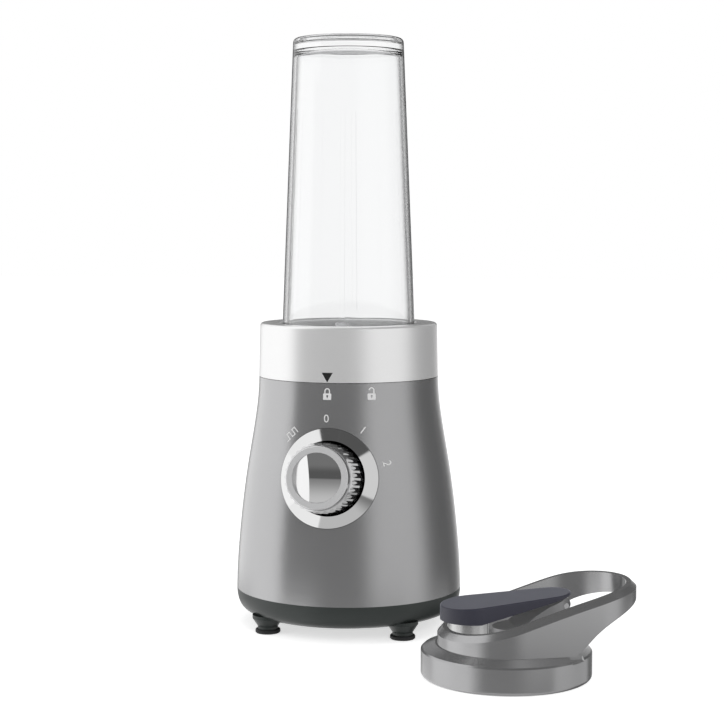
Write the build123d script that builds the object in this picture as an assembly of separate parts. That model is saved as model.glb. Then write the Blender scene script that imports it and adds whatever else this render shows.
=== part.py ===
from build123d import *
import os
from math import asin, atan2, ceil, cos, degrees, hypot, radians, sin, sqrt

# Countertop blender with an upturned cup and a travel lid standing beside it.
# Millimetres, +Z up. The origin is the middle of the footprint of base and lid, in the plane they
# stand on. The front of the base, with the dial, faces -Y. Angles are counted about +Z from +X.
# Every piece of the base, blade unit and cup is drawn about the base's axis, and every piece of
# the lid in the lid's own frame; both are moved to their places when they are written.

# ---- Clearances ----
FIT = 0.05            # radial play of a piece seated in another and fixed there
RUNNING = 0.05        # radial play of a turning shaft in its bearing
BODY_GAP = 0.3        # play between pieces that move past each other
LUG_GAP = 0.5         # play around bayonet and thread lugs

# ---- Motor base: outer shape ----
SEAM_Z = 22.2         # joint between housing and bottom cover
SEAM_R = 66.8
BELLY_Z, BELLY_R = 58.4, 64.5
DIAL_Z, DIAL_WALL_R = 94.4, 60.0
WAIST_Z, WAIST_R = 118.3, 56.0
NECK_Z, NECK_R = 133.0, 53.9
SEAT_Z, SEAT_R = 147.6, 53.0      # shoulder that carries the lock collar
HOUSING_WALL = 2.6
HOUSING_TOP_WALL = 3.0
LAP_HEIGHT = 3.0      # lap of the bottom cover inside the housing

BOWL_FLOOR_Z = 7.4    # underside of the bottom cover
BOWL_KNEE_Z = 10.4
BOWL_FLOOR_R = SEAM_R - 12.8
BOWL_KNEE_R = SEAM_R - 4.0
BOWL_WALL = 2.4
VENT_COUNT, VENT_LENGTH, VENT_WIDTH, VENT_CENTRE_R = 12, 14.0, 3.0, 25.0

FOOT_PLACE_R = SEAM_R - 10.4
FOOT_ANGLES = (45, 135, 225, 315)
FOOT_R, FOOT_PAD_HEIGHT = 7.3, 2.4
FOOT_STEM_R, FOOT_STEM_TOP_Z = 6.0, 13.0
FOOT_FLARE_R, FOOT_FLARE_HEIGHT = 9.0, 6.2
FOOT_SPIGOT_R, FOOT_SPIGOT_LENGTH = 2.6, 5.0

COVER_SCREW_ANGLES = (20, 110, 200, 290)
COVER_SCREW_PLACE_R = SEAM_R - 10.8
COVER_SCREW_R, COVER_SCREW_HEAD_R, COVER_SCREW_HEAD_H = 1.6, 3.0, 1.8
COVER_SCREW_LENGTH = 26.0
HOUSING_BOSS_R, HOUSING_BOSS_HEIGHT = 4.0, 22.0
HOUSING_RIB_THICKNESS = 2.4

GLAND_Z, GLAND_R, GLAND_TAIL_R = 40.0, 5.0, 3.8
GLAND_FLANGE_R, GLAND_FLANGE_T = 7.5, 2.0
GLAND_TAIL_LENGTH = 9.0
CORD_HOLE_R = 2.6
GLAND_SEAT_GAP = 0.1  # between the flange and the wall's inner side

# ---- Cup seat: the well in the top of the base ----
WELL_R, WELL_WALL = 43.1, 2.0
SKIRT_GAP = 3.8       # room for the lugs between the well and the blade unit's skirt
WELL_FLOOR_Z, WELL_FLOOR_T = 128.0, 2.4
SEAT_FLANGE_REACH, SEAT_FLANGE_T = 6.5, 3.0
DRAIN_LIP_R, DRAIN_LIP_WALL, DRAIN_LIP_HEIGHT = 13.5, 1.6, 4.0
COUPLER_HOLE_R = 7.0
LUG_COUNT = 4
LUG_FIRST_ANGLE = -60.0
LUG_WIDTH_ANGLE = 24.0
LEDGE_Z, LEDGE_T, LEDGE_DEPTH = 139.0, 3.0, 3.3

# ---- Interlock: a plunger pushed down by one lug ----
PLUNGER_R, PLUNGER_TRAVEL = 1.8, 3.0
PLUNGER_CAP_GAP = 0.7           # between a lug and the pressed plunger
PLUNGER_FLANGE_R, PLUNGER_FLANGE_T = 2.8, 0.5
PLUNGER_INSET_ANGLE = 1.5       # how far the plunger lies inside the lug's trailing end
MICRO_LENGTH, MICRO_WIDTH, MICRO_HEIGHT = 13.0, 6.0, 6.4
MICRO_POST_T, MICRO_LEG = 2.0, 2.0

# ---- Motor ----
SHAFT_R = 4.0
SHAFT_BOTTOM_Z = 27.0
BEARING_R, BEARING_H = 11.0, 7.0
LOWER_BEARING_Z = 30.0
UPPER_BEARING_Z = 112.0
BRACKET_R, BRACKET_T = 46.0, 3.0
BRACKET_BOSS_WALL = 2.6
LOWER_PLATE_Z = 37.0
UPPER_PLATE_Z = 110.0
BRACKET_WINDOW_R, BRACKET_WINDOW_PLACE_R, BRACKET_WINDOW_COUNT = 6.5, 26.0, 8
FAN_Z, FAN_R, FAN_DISC_T, FAN_BLADE_H, FAN_BLADE_T, FAN_HUB_R = 43.5, 36.0, 1.6, 8.0, 1.4, 9.0
FAN_BLADE_COUNT = 12
STATOR_Z, STATOR_HEIGHT, STATOR_R, STATOR_YOKE = 64.0, 30.0, 38.0, 6.0
POLE_BORE_R, POLE_ANGLE = 22.6, 112.0
COIL_OVERHANG = 5.0
COIL_INNER_R = 24.0
COIL_GAP = 0.5
AIR_GAP = 0.6
WINDING_R, WINDING_OVERHANG = 19.5, 5.5
COMMUTATOR_Z, COMMUTATOR_H, COMMUTATOR_R = 99.8, 8.0, 11.0
COMMUTATOR_BARS, COMMUTATOR_SLOT_W, COMMUTATOR_SLOT_D = 24, 0.6, 0.7
BRUSH_WIDTH, BRUSH_HEIGHT, BRUSH_LENGTH = 6.0, 5.0, 13.0
BRUSH_GAP = 0.2
HOLDER_WALL, HOLDER_INNER_R, HOLDER_OUTER_R = 1.6, 13.5, 40.0
HOLDER_END_T = 1.6
SPRING_WIRE, SPRING_R = 0.7, 1.9
BOLT_PLACE_R, BOLT_R, BOLT_HEAD_R, BOLT_HEAD_H = 41.6, 2.0, 3.6, 2.4
BOLT_ANGLES = (45, 135, 225, 315)
SPACER_R = 3.6
EAR_R = 4.4
MOUNT_PLACE_R, MOUNT_POST_R, MOUNT_RUBBER_R, MOUNT_RUBBER_H = 40.0, 4.5, 5.0, 4.0
MOUNT_ANGLES = (0, 90, 180, 270)
MOUNT_PIN_R = 1.5

BOARD_WIDTH, BOARD_HEIGHT, BOARD_T = 36.0, 36.0, 1.6
BOARD_Y, BOARD_Z = 50.0, 48.0
BOARD_RAIL_T, BOARD_RAIL_LIP = 2.4, 1.8

# ---- Drive couplers ----
COUPLER_R, COUPLER_NECK_R, COUPLER_DISC_T = 9.5, 6.4, 3.0
COUPLER_TOP_Z = 131.4           # top of the lower disc, below its dogs
COUPLER_BOTTOM_Z = 121.5
DOG_COUNT, DOG_ANGLE, DOG_INNER_R, DOG_HEIGHT = 3, 38.0, 5.2, 3.6
DOG_LEAD_ANGLE = 3.0            # play between dogs on the driving side
DOG_END_GAP = 0.4
DOG_EDGE = 0.4                  # the dogs stand inside the discs' edge
DRIVEN_DISC_T = 4.0

# ---- Dial ----
DIAL_TILT = 9.0                 # the dial's axis leans up by this angle
BEZEL_R, BEZEL_INNER_R, BEZEL_PROUD = 28.2, 21.2, 0.8
BEZEL_FACE_DEPTH = 1.7          # inner edge of the bezel behind the wall's tangent plane
BEZEL_BACK_DEPTH = 8.6
BEZEL_FLOOR_T = 2.0
BEZEL_LIP = 1.4                 # the bezel's flange laps over the housing's hole
BEZEL_PLUG_R = BEZEL_R - BEZEL_LIP
KNOB_BASE_R, KNOB_TOP_R, KNOB_SHOULDER_R = 20.3, 19.6, 18.3
KNOB_GRIP_H, KNOB_SHOULDER_H, KNOB_HEIGHT = 20.6, 21.4, 27.0
KNOB_FACE_R, KNOB_RING_WIDTH, KNOB_CAP_DEPTH = 17.0, 3.1, 3.4
KNOB_FACE_EDGE = 0.5
KNOB_CAP_T, KNOB_CAP_DISH_R = 3.2, 40.0
KNOB_BASE_GAP = 0.6
KNOB_WALL, KNOB_ROOF = 2.6, 3.0
KNOB_FLUTE_COUNT, KNOB_FLUTE_R = 30, 1.6
KNOB_FLUTE_SINK = 1.0
KNOB_NOTCH_R = 2.2
KNOB_STEM_R, SPINDLE_R, SPINDLE_FLAT = 5.5, 3.0, 1.0
SPINDLE_TIP_H, SPINDLE_FLAT_H = 18.0, 2.0
SWITCH_R, SWITCH_DEPTH, SWITCH_NECK_R = 12.5, 9.0, 4.8
SWITCH_NUT_R, SWITCH_NUT_T = 7.0, 2.0
SWITCH_NECK_PROUD = 2.8

# ---- Cup ----
CUP_TOP_Z, CUP_TOP_R, CUP_RIM_R = 345.5, 32.3, 40.0
CUP_WALL = 2.2
CUP_RIM_GAP = 0.2
CUP_END_RECESS, CUP_END_RING_WIDTH, CUP_END_T = 4.0, 3.0, 2.8
CUP_EDGE_R, CUP_INNER_EDGE_R = 2.5, 5.0
RIB_COUNT, RIB_FIRST_ANGLE = 4, -84.0
RIB_WIDTH, RIB_DEPTH = 2.6, 1.8
RIB_BOTTOM_Z, RIB_TOP_Z = 183.0, 305.0

# ---- Blade unit: lock collar, holder, gasket, bearing ----
COLLAR_BOTTOM_R, COLLAR_TOP_R, COLLAR_TOP_Z = 53.0, 52.3, 179.3
COLLAR_WALL, COLLAR_EDGE_R = 2.4, 1.6
MOUTH_PLAY, COLLAR_INNER_WALL = 1.7, 2.3         # the cup's rim stands inside the collar's mouth
HOLDER_DISC_Z, HOLDER_DISC_T = 150.0, 3.0
SKIRT_WALL, SKIRT_BOTTOM_Z = 2.4, 134.2
SKIRT_R = WELL_R - SKIRT_GAP
COLLAR_MOUTH_R = CUP_RIM_R + MOUTH_PLAY
LUG_T = 3.5
BOSS_R, BOSS_TOP_Z, BOSS_BOTTOM_Z = 10.0, 160.5, 141.4
BUSH_R, BUSH_HEIGHT = 6.5, 15.0
SEAL_HEIGHT = 2.5
GASKET_T, GASKET_PLAY, GASKET_OVERLAP = 3.0, 0.4, 1.0
GASKET_OUTER_R = COLLAR_MOUTH_R - GASKET_PLAY
GASKET_INNER_R = CUP_RIM_R - CUP_WALL - GASKET_OVERLAP
THREAD_COUNT, THREAD_ANGLE, THREAD_T = 4, 34.0, 3.0
COLLAR_THREAD_REACH = 1.3
CUP_THREAD_REACH = 1.25

# ---- Blades ----
BLADE_SHAFT_R = 3.0
BLADE_T, BLADE_WIDTH, BLADE_HUB_R = 1.5, 13.0, 7.5
LOWER_BLADE_REACH, UPPER_BLADE_REACH = 27.0, 24.0
LOWER_BLADE_BEND, UPPER_BLADE_BEND = -24.0, 42.0
BLADE_TIP_TAPER = 0.35
BLADE_SPACER_T = 1.2
BLADE_NUT_R, BLADE_NUT_T = 5.2, 4.0
BLADE_GAP = 0.4                 # under the lowest blade washer

# ---- Travel lid, in its own frame: u along the carry loop, v across, origin on the floor ----
LID_X, LID_Y, LID_TURN = 107.7, -108.8, 22.3    # from the base's axis
LID_R, LID_WALL, LID_RIM_Z = 45.2, 2.6, 14.2
LID_EDGE_R, LID_CHAMFER = 2.0, 0.9
DECK_MARGIN, DECK_Z = 7.6, 17.2
DECK_R = LID_R - DECK_MARGIN
DECK_T = 2.6
LID_SEAT_Z, LID_SEAT_LIP = 12.0, 1.0
LID_GASKET_T, LID_GASKET_WIDTH, LID_GASKET_PLAY = 1.6, 4.6, 1.0
LID_GASKET_OUTER_R = LID_R - LID_WALL - LID_GASKET_PLAY
LID_GASKET_INNER_R = LID_GASKET_OUTER_R - LID_GASKET_WIDTH
LID_SEAT_INNER_R = LID_GASKET_INNER_R - LID_SEAT_LIP
LID_THREAD_Z, LID_THREAD_REACH = 4.0, 1.4
NOTCH_START_U, NOTCH_END_U, NOTCH_INNER_V, NOTCH_FLOOR_Z = 24.5, 33.0, 27.0, 13.2

LOOP_INSET, LOOP_THICKNESS, LOOP_TIP_U = 1.1, 5.4, 69.6
LOOP_R = DECK_R - LOOP_INSET
LOOP_EDGE = 2.9                 # bevel along the loop's outer top edge
LOOP_TOP = ((-40.0, 25.2), (-12.0, 30.2), (8.0, 36.4), (27.0, 42.4), (42.0, 46.4), (58.0, 49.0), (72.0, 50.4))
LOOP_UNDER = ((26.5, 17.2), (32.0, 21.8), (38.0, 27.6), (55.0, 36.8), (75.0, 43.8))
LID_CLEAR_Z = 80.0              # above everything on the lid

SPOUT_U, SPOUT_R, SPOUT_BORE_R, SPOUT_TOP_Z = -20.5, 10.5, 7.0, 30.0
SPOUT_SPIGOT = 1.5
CAP_LEFT_U, CAP_LEFT_R, CAP_RIGHT_U, CAP_RIGHT_R = -18.6, 17.0, 22.2, 12.6
CAP_LEFT_TOP_Z, CAP_LEFT_BOTTOM_Z = 38.5, 30.9
CAP_RIGHT_TOP_Z, CAP_RIGHT_BOTTOM_Z = 44.1, 43.2
CAP_RISE_U = -18.0              # where the cap's underside starts to rise
CAP_EDGE_R = 0.8
CAP_SEAL_R, CAP_SEAL_PLUG_R, CAP_SEAL_PLUG_L = 9.4, 6.2, 1.8
HINGE_U, HINGE_Z, PIN_R, BARREL_R = 30.0, 37.4, 1.5, 4.2
KNUCKLE_HALF_WIDTH = 4.5
HUB_NARROW_U, HUB_NARROW_R = 4.0, 11.4
HUB_SLOPE = ((-20.0, 25.0), (4.0, 26.6), (13.0, 33.4), (20.5, 38.0))
CAP_SWEEP_GAP = 0.4


# ---- Small building blocks ----
def disc(radius, z0, z1):
    """Round plate or bar about Z."""
    return Pos(0, 0, z0) * extrude(Circle(radius), z1 - z0)


def tube(outer, inner, z0, z1):
    """Round tube about Z."""
    return Pos(0, 0, z0) * extrude(Circle(outer) - Circle(inner), z1 - z0)


def turned(points):
    """Solid of revolution about Z from (radius, height) points."""
    return revolve(make_face(Plane.XZ * Polyline(*points, close=True)), Axis.Z)


def block(x0, x1, y0, y1, z0, z1):
    """Box between two corners."""
    size = Box(x1 - x0, y1 - y0, z1 - z0)
    return Pos((x0 + x1) / 2, (y0 + y1) / 2, (z0 + z1) / 2) * size


def polar(angle, radius=0.0, z=0.0):
    """Place turned to an angle about Z and moved out along it."""
    return Rot(Z=angle) * Pos(radius, 0, z)


def sector(outer, inner, width_angle, z0, z1):
    """Arc-shaped bar centred on +X."""
    half = width_angle / 2
    reach = outer / cos(radians(half)) * 1.2
    wedge = make_face(Polyline(
        (0, 0),
        (reach * cos(radians(half)), -reach * sin(radians(half))),
        (reach * cos(radians(half)), reach * sin(radians(half))),
        close=True,
    ))
    return tube(outer, inner, z0, z1) & (Pos(0, 0, z0) * extrude(wedge, z1 - z0))


def repeated(shape, angles):
    """Copies of a shape turned about Z, as a list."""
    return [Rot(Z=angle) * shape for angle in angles]


def joined(shapes):
    """Fuse a list of shapes."""
    result = shapes[0]
    for shape in shapes[1:]:
        result = result + shape
    return result


def group(shapes):
    """Keep separate solids together in one node."""
    return ShapeList(solid for shape in shapes for solid in shape.solids())


def even_angles(count, first=0.0):
    """Angles of equal steps round a circle."""
    return [first + 360.0 * i / count for i in range(count)]


def coil(radius, wire, length):
    """Closely wound spring standing on the XY plane."""
    turns = ceil(length / wire)
    pitch = length / turns
    ring = Plane.XZ * Pos(radius, pitch / 2) * Circle(wire / 2)
    core = tube(radius + wire * 0.2, radius - wire * 0.2, 0, length)
    rings = [Pos(0, 0, pitch * i) * revolve(ring, Axis.Z) for i in range(turns)]
    return joined([core] + rings) & tube(radius + wire, radius - wire, 0, length)


# ---- Motor base ----
def housing_outline(inset=0.0):
    """Curve of the housing wall from the seam up to the shoulder."""
    return Plane.XZ * Spline(
        (SEAM_R - inset, SEAM_Z),
        (BELLY_R - inset, BELLY_Z),
        (DIAL_WALL_R - inset, DIAL_Z),
        (WAIST_R - inset, WAIST_Z),
        (NECK_R - inset, NECK_Z),
        (SEAT_R - inset, SEAT_Z),
        tangents=[(-0.02, 1), (-0.02, 1)],
    )


def housing_radius(z, inset=0.0):
    """Radius of the housing wall at a height."""
    curve = housing_outline(inset)
    low, high = 0.0, 1.0
    for _ in range(40):
        middle = (low + high) / 2
        if (curve @ middle).Z < z:
            low = middle
        else:
            high = middle
    return (curve @ low).X


def housing_block(inset=0.0):
    """Filled body inside the housing wall."""
    face = make_face([
        housing_outline(inset),
        Plane.XZ * Line((SEAT_R - inset, SEAT_Z), (0, SEAT_Z)),
        Plane.XZ * Line((0, SEAT_Z), (0, SEAM_Z)),
        Plane.XZ * Line((0, SEAM_Z), (SEAM_R - inset, SEAM_Z)),
    ])
    return revolve(face, Axis.Z)


DIAL_PLANE = Plane(
    origin=(0, -DIAL_WALL_R, DIAL_Z),
    x_dir=(1, 0, 0),
    z_dir=(0, -cos(radians(DIAL_TILT)), sin(radians(DIAL_TILT))),
)


def on_dial(shape):
    """Move a shape built about Z to the dial's axis, outwards along +Z."""
    return DIAL_PLANE.location * shape


def housing_boss(angle):
    """Screw column with a rib out to the housing wall."""
    top = SEAM_Z + HOUSING_BOSS_HEIGHT
    column = polar(angle, COVER_SCREW_PLACE_R) * disc(HOUSING_BOSS_R, SEAM_Z - 4.0, top)
    reach = SEAM_R - HOUSING_WALL / 2
    rib = Rot(Z=angle) * block(
        COVER_SCREW_PLACE_R, reach, -HOUSING_RIB_THICKNESS / 2, HOUSING_RIB_THICKNESS / 2,
        SEAM_Z + LAP_HEIGHT + 1.0, top,
    )
    inner = housing_block(HOUSING_WALL / 2)
    bore = polar(angle, COVER_SCREW_PLACE_R) * disc(COVER_SCREW_R + FIT, 0, top - 2.0)
    return column + (rib & inner) - bore


def base_housing():
    """Grey outer shell with the dial opening, the cord hole, the screw columns and the board's rails."""
    cavity = housing_block(HOUSING_WALL) - disc(SEAM_R, SEAT_Z - HOUSING_TOP_WALL, SEAT_Z + 1)
    shell = housing_block() - cavity
    shell = shell - disc(WELL_R + WELL_WALL + FIT, SEAT_Z - 10, SEAT_Z + 1)
    shell = shell - on_dial(disc(BEZEL_PLUG_R + FIT, -20, 20))
    cord_hole = disc(GLAND_R + FIT, gland_seat() - GLAND_FLANGE_T, SEAM_R + GLAND_TAIL_LENGTH)
    shell = shell - Pos(0, 0, GLAND_Z) * Rot(X=-90) * cord_hole
    return joined([shell] + [housing_boss(angle) for angle in COVER_SCREW_ANGLES] + board_rails())


def lug_angles():
    """Bayonet lug centres in the locked position."""
    return even_angles(LUG_COUNT, LUG_FIRST_ANGLE)


def plunger_place():
    """Place of the interlock plunger under the trailing end of the first lug."""
    angle = LUG_FIRST_ANGLE - LUG_WIDTH_ANGLE / 2 + PLUNGER_INSET_ANGLE
    return polar(angle, (SKIRT_R + WELL_R) / 2)


def cup_seat():
    """Black well with a flange under the shoulder, lug ledges and a drain lip."""
    flange_top = SEAT_Z - HOUSING_TOP_WALL
    wall = tube(WELL_R + WELL_WALL, WELL_R, WELL_FLOOR_Z - WELL_FLOOR_T, SEAT_Z - 0.4)
    floor = tube(WELL_R + WELL_WALL, COUPLER_HOLE_R, WELL_FLOOR_Z - WELL_FLOOR_T, WELL_FLOOR_Z)
    flange = tube(WELL_R + SEAT_FLANGE_REACH, WELL_R, flange_top - SEAT_FLANGE_T, flange_top)
    lip = tube(DRAIN_LIP_R, DRAIN_LIP_R - DRAIN_LIP_WALL, WELL_FLOOR_Z, WELL_FLOOR_Z + DRAIN_LIP_HEIGHT)
    ledge = sector(WELL_R + 1, WELL_R - LEDGE_DEPTH, LUG_WIDTH_ANGLE, LEDGE_Z, LEDGE_Z + LEDGE_T)
    floor_under = WELL_FLOOR_Z - WELL_FLOOR_T
    posts = [
        plunger_place() * block(
            -MICRO_WIDTH / 2, MICRO_WIDTH / 2, side - MICRO_POST_T / 2, side + MICRO_POST_T / 2,
            micro_top() - MICRO_HEIGHT, floor_under,
        )
        for side in (-(MICRO_LENGTH + MICRO_POST_T) / 2, (MICRO_LENGTH + MICRO_POST_T) / 2)
    ]
    seat = joined([wall, floor, flange, lip] + repeated(ledge, lug_angles()) + posts)
    return seat - plunger_place() * disc(PLUNGER_R + RUNNING * 2, floor_under - 1, WELL_FLOOR_Z + 1)


def plunger_bottom():
    """Lower end of the pressed plunger."""
    return WELL_FLOOR_Z - WELL_FLOOR_T - PLUNGER_TRAVEL - PLUNGER_FLANGE_T - 0.1


def micro_top():
    """Top of the interlock switch."""
    return plunger_bottom() - 0.2


def interlock_plunger():
    """Pin that a lug pushes down when the blade unit is locked."""
    top = LEDGE_Z - BODY_GAP - LUG_T - PLUNGER_CAP_GAP
    pin = disc(PLUNGER_R, plunger_bottom(), top)
    pin = fillet(pin.edges().group_by(Axis.Z)[-1], 0.6)
    flange = disc(PLUNGER_FLANGE_R, plunger_bottom(), plunger_bottom() + PLUNGER_FLANGE_T)
    return plunger_place() * (pin + flange)


def interlock_switch():
    """Small switch held between two posts under the well."""
    body = block(-MICRO_WIDTH / 2, MICRO_WIDTH / 2, -MICRO_LENGTH / 2, MICRO_LENGTH / 2,
                 micro_top() - MICRO_HEIGHT, micro_top())
    leg = block(-0.4, 0.4, -1.2, 1.2, micro_top() - MICRO_HEIGHT - MICRO_LEG, micro_top() - MICRO_HEIGHT)
    return plunger_place() * joined([body] + [Pos(0, y, 0) * leg for y in (-4.0, 4.0)])


def bowl_block(inset=0.0):
    """Filled body inside the bottom cover's wall."""
    floor_z = BOWL_FLOOR_Z + inset
    knee = Plane.XZ * Spline(
        (BOWL_FLOOR_R - inset * 0.4, floor_z),
        (BOWL_KNEE_R - inset * 0.8, BOWL_KNEE_Z + inset * 0.6),
        (SEAM_R - inset, SEAM_Z),
        tangents=[(1, 0.16), (0.02, 1)],
    )
    face = make_face([
        knee,
        Plane.XZ * Line((SEAM_R - inset, SEAM_Z), (0, SEAM_Z)),
        Plane.XZ * Line((0, SEAM_Z), (0, floor_z)),
        Plane.XZ * Line((0, floor_z), (BOWL_FLOOR_R - inset * 0.4, floor_z)),
    ])
    return revolve(face, Axis.Z)


def bottom_cover():
    """Black bowl with four foot stems, a vent ring and motor posts."""
    lap_r = housing_radius(SEAM_Z + LAP_HEIGHT, HOUSING_WALL) - FIT
    lap = tube(lap_r, lap_r - BOWL_WALL, SEAM_Z - 4.0, SEAM_Z + LAP_HEIGHT)
    stem = turned([
        (0, FOOT_PAD_HEIGHT), (FOOT_STEM_R, FOOT_PAD_HEIGHT),
        (FOOT_STEM_R, FOOT_PAD_HEIGHT + 1.6), (FOOT_FLARE_R, FOOT_PAD_HEIGHT + FOOT_FLARE_HEIGHT),
        (FOOT_FLARE_R, FOOT_STEM_TOP_Z), (0, FOOT_STEM_TOP_Z),
    ])
    stems = [(polar(angle, FOOT_PLACE_R) * stem) for angle in FOOT_ANGLES]
    inside = bowl_block(BOWL_WALL * 0.5)
    below = disc(SEAM_R + 5, 0, BOWL_KNEE_Z + 0.2)
    stems = [(stem_at & inside) + (stem_at & below) for stem_at in stems]
    post_top = LOWER_PLATE_Z - MOUNT_RUBBER_H
    post = polar(0, MOUNT_PLACE_R) * disc(MOUNT_POST_R, BOWL_FLOOR_Z + 1, post_top)
    pin = polar(0, MOUNT_PLACE_R) * disc(MOUNT_PIN_R, post_top, LOWER_PLATE_Z)
    sleeve = polar(0, COVER_SCREW_PLACE_R) * disc(HOUSING_BOSS_R, BOWL_FLOOR_Z + 1, SEAM_Z - 4.0)
    sleeves = [part & bowl_block(BOWL_WALL * 0.5) for part in repeated(sleeve, COVER_SCREW_ANGLES)]
    cover = joined(
        [bowl_block() - bowl_block(BOWL_WALL), lap] + stems + sleeves
        + repeated(post, MOUNT_ANGLES) + repeated(pin, MOUNT_ANGLES)
    )
    slot = polar(0, VENT_CENTRE_R) * extrude(SlotOverall(VENT_LENGTH, VENT_WIDTH), 12)
    screw_hole = polar(0, COVER_SCREW_PLACE_R) * disc(COVER_SCREW_R + 0.2, 0, SEAM_Z)
    head_hole = polar(0, COVER_SCREW_PLACE_R) * disc(COVER_SCREW_HEAD_R + 0.3, 0, cover_screw_z())
    socket = polar(0, FOOT_PLACE_R) * disc(
        FOOT_SPIGOT_R + FIT, 0, FOOT_PAD_HEIGHT + FOOT_SPIGOT_LENGTH + 0.5)
    for cut, angles in ((slot, even_angles(VENT_COUNT)), (screw_hole, COVER_SCREW_ANGLES),
                        (head_hole, COVER_SCREW_ANGLES), (socket, FOOT_ANGLES)):
        for piece in repeated(cut, angles):
            cover = cover - piece
    return cover


def cover_screw_z():
    """Underside of the cover screws' seats."""
    return BOWL_FLOOR_Z + BOWL_WALL + 1.0


def bottom_screws():
    """Four screws from below into the housing's columns."""
    screw = disc(COVER_SCREW_R, cover_screw_z(), cover_screw_z() + COVER_SCREW_LENGTH) + disc(
        COVER_SCREW_HEAD_R, cover_screw_z() - COVER_SCREW_HEAD_H, cover_screw_z())
    return group([polar(angle, COVER_SCREW_PLACE_R) * screw for angle in COVER_SCREW_ANGLES])


def rubber_feet():
    """Four flanged rubber pads plugged into the stems."""
    pad = disc(FOOT_R, 0, FOOT_PAD_HEIGHT)
    pad = chamfer(pad.edges().group_by(Axis.Z)[0], 0.5)
    pad = fillet(pad.edges().group_by(Axis.Z)[-1], 0.8)
    spigot = disc(FOOT_SPIGOT_R, FOOT_PAD_HEIGHT - 0.1, FOOT_PAD_HEIGHT + FOOT_SPIGOT_LENGTH)
    return group([polar(angle, FOOT_PLACE_R) * (pad + spigot) for angle in FOOT_ANGLES])


def gland_seat():
    """Distance from the axis to the face that the gland's flange bears on, inside the curved wall."""
    nearest = housing_radius(GLAND_Z + GLAND_FLANGE_R, HOUSING_WALL)
    return sqrt(nearest ** 2 - GLAND_FLANGE_R ** 2) - GLAND_SEAT_GAP


def cord_gland():
    """Rubber strain relief in the back wall."""
    wall = housing_radius(GLAND_Z)
    inner = gland_seat()
    flange = disc(GLAND_FLANGE_R, inner - GLAND_FLANGE_T, inner)
    body = disc(GLAND_R, inner - 0.1, wall + 1.5)
    tail = turned([(0, wall + 1.4), (GLAND_R, wall + 1.4), (GLAND_TAIL_R, wall + GLAND_TAIL_LENGTH),
                   (0, wall + GLAND_TAIL_LENGTH)])
    bore = disc(CORD_HOLE_R, inner - GLAND_FLANGE_T - 1, wall + GLAND_TAIL_LENGTH + 1)
    return Pos(0, 0, GLAND_Z) * Rot(X=-90) * (flange + body + tail - bore)


def board_plate(play=0.0):
    """Plain board, or the slot that takes it."""
    return block(-BOARD_WIDTH / 2 - play, BOARD_WIDTH / 2 + play,
                 BOARD_Y - BOARD_T / 2 - play, BOARD_Y + BOARD_T / 2 + play,
                 BOARD_Z, BOARD_Z + BOARD_HEIGHT + play)


def board_rails():
    """Two slotted rails inside the back wall with a stop under the board."""
    half, lip = BOARD_WIDTH / 2, BOARD_RAIL_LIP
    inner = housing_block(HOUSING_WALL / 2)
    rails = []
    for side in (-1, 1):
        low, high = sorted((side * (half - lip), side * (half + BOARD_RAIL_T)))
        rail = block(low, high, BOARD_Y - BOARD_T / 2 - lip, SEAM_R, BOARD_Z - lip, BOARD_Z + BOARD_HEIGHT)
        rails.append((rail & inner) - board_plate(FIT))
    return rails


def circuit_board():
    """Board standing in two rails, with its tall parts facing inwards."""
    z0 = BOARD_Z
    face_y = BOARD_Y - BOARD_T / 2
    relay = block(-13, 3, face_y - 7.0, face_y, z0 + 12, z0 + 24)
    capacitor = Pos(10, face_y, z0 + 17) * Rot(X=90) * disc(4, 0, 6)
    return board_plate() + relay + capacitor


# ---- Motor ----
def bracket(plate_z, bearing_z):
    """Motor end plate with a bearing boss and air windows."""
    boss_r = BEARING_R + BRACKET_BOSS_WALL
    low, high = min(plate_z, bearing_z), max(plate_z + BRACKET_T, bearing_z + BEARING_H)
    plate = disc(BRACKET_R, plate_z, plate_z + BRACKET_T)
    body = plate + disc(boss_r, low, high)
    body = body - disc(BEARING_R + FIT, bearing_z, bearing_z + BEARING_H)
    body = body - disc(SHAFT_R + 1.0, low - 1, high + 1)
    window = polar(0, BRACKET_WINDOW_PLACE_R) * disc(BRACKET_WINDOW_R, plate_z - 1, plate_z + BRACKET_T + 1)
    for piece in repeated(window, even_angles(BRACKET_WINDOW_COUNT, 22.5)):
        body = body - piece
    bolt = polar(0, BOLT_PLACE_R) * disc(BOLT_R + FIT, plate_z - 1, plate_z + BRACKET_T + 1)
    for piece in repeated(bolt, BOLT_ANGLES):
        body = body - piece
    return body


def lower_bracket():
    """Lower end plate, sitting on the rubber mounts."""
    body = bracket(LOWER_PLATE_Z, LOWER_BEARING_Z)
    pin = polar(0, MOUNT_PLACE_R) * disc(MOUNT_PIN_R + FIT, LOWER_PLATE_Z - 1, LOWER_PLATE_Z + 0.4)
    for piece in repeated(pin, MOUNT_ANGLES):
        body = body - piece
    return body


def upper_bracket():
    """Upper end plate, which carries the brush holders."""
    return bracket(UPPER_PLATE_Z, UPPER_BEARING_Z)


def bearing(z):
    """Ball bearing drawn as one closed ring with grooved faces."""
    race = tube(BEARING_R, SHAFT_R + RUNNING, z, z + BEARING_H)
    groove_mid = (BEARING_R + SHAFT_R) / 2
    groove = tube(groove_mid + 1.3, groove_mid - 1.3, z - 1, z + 0.6)
    return race - groove - Pos(0, 0, BEARING_H + 0.4) * groove


def motor_mounts():
    """Four rubber rings between the cover's posts and the lower plate."""
    ring = tube(MOUNT_RUBBER_R, MOUNT_PIN_R + FIT, LOWER_PLATE_Z - MOUNT_RUBBER_H, LOWER_PLATE_Z)
    return group(repeated(polar(0, MOUNT_PLACE_R) * ring, MOUNT_ANGLES))


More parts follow.
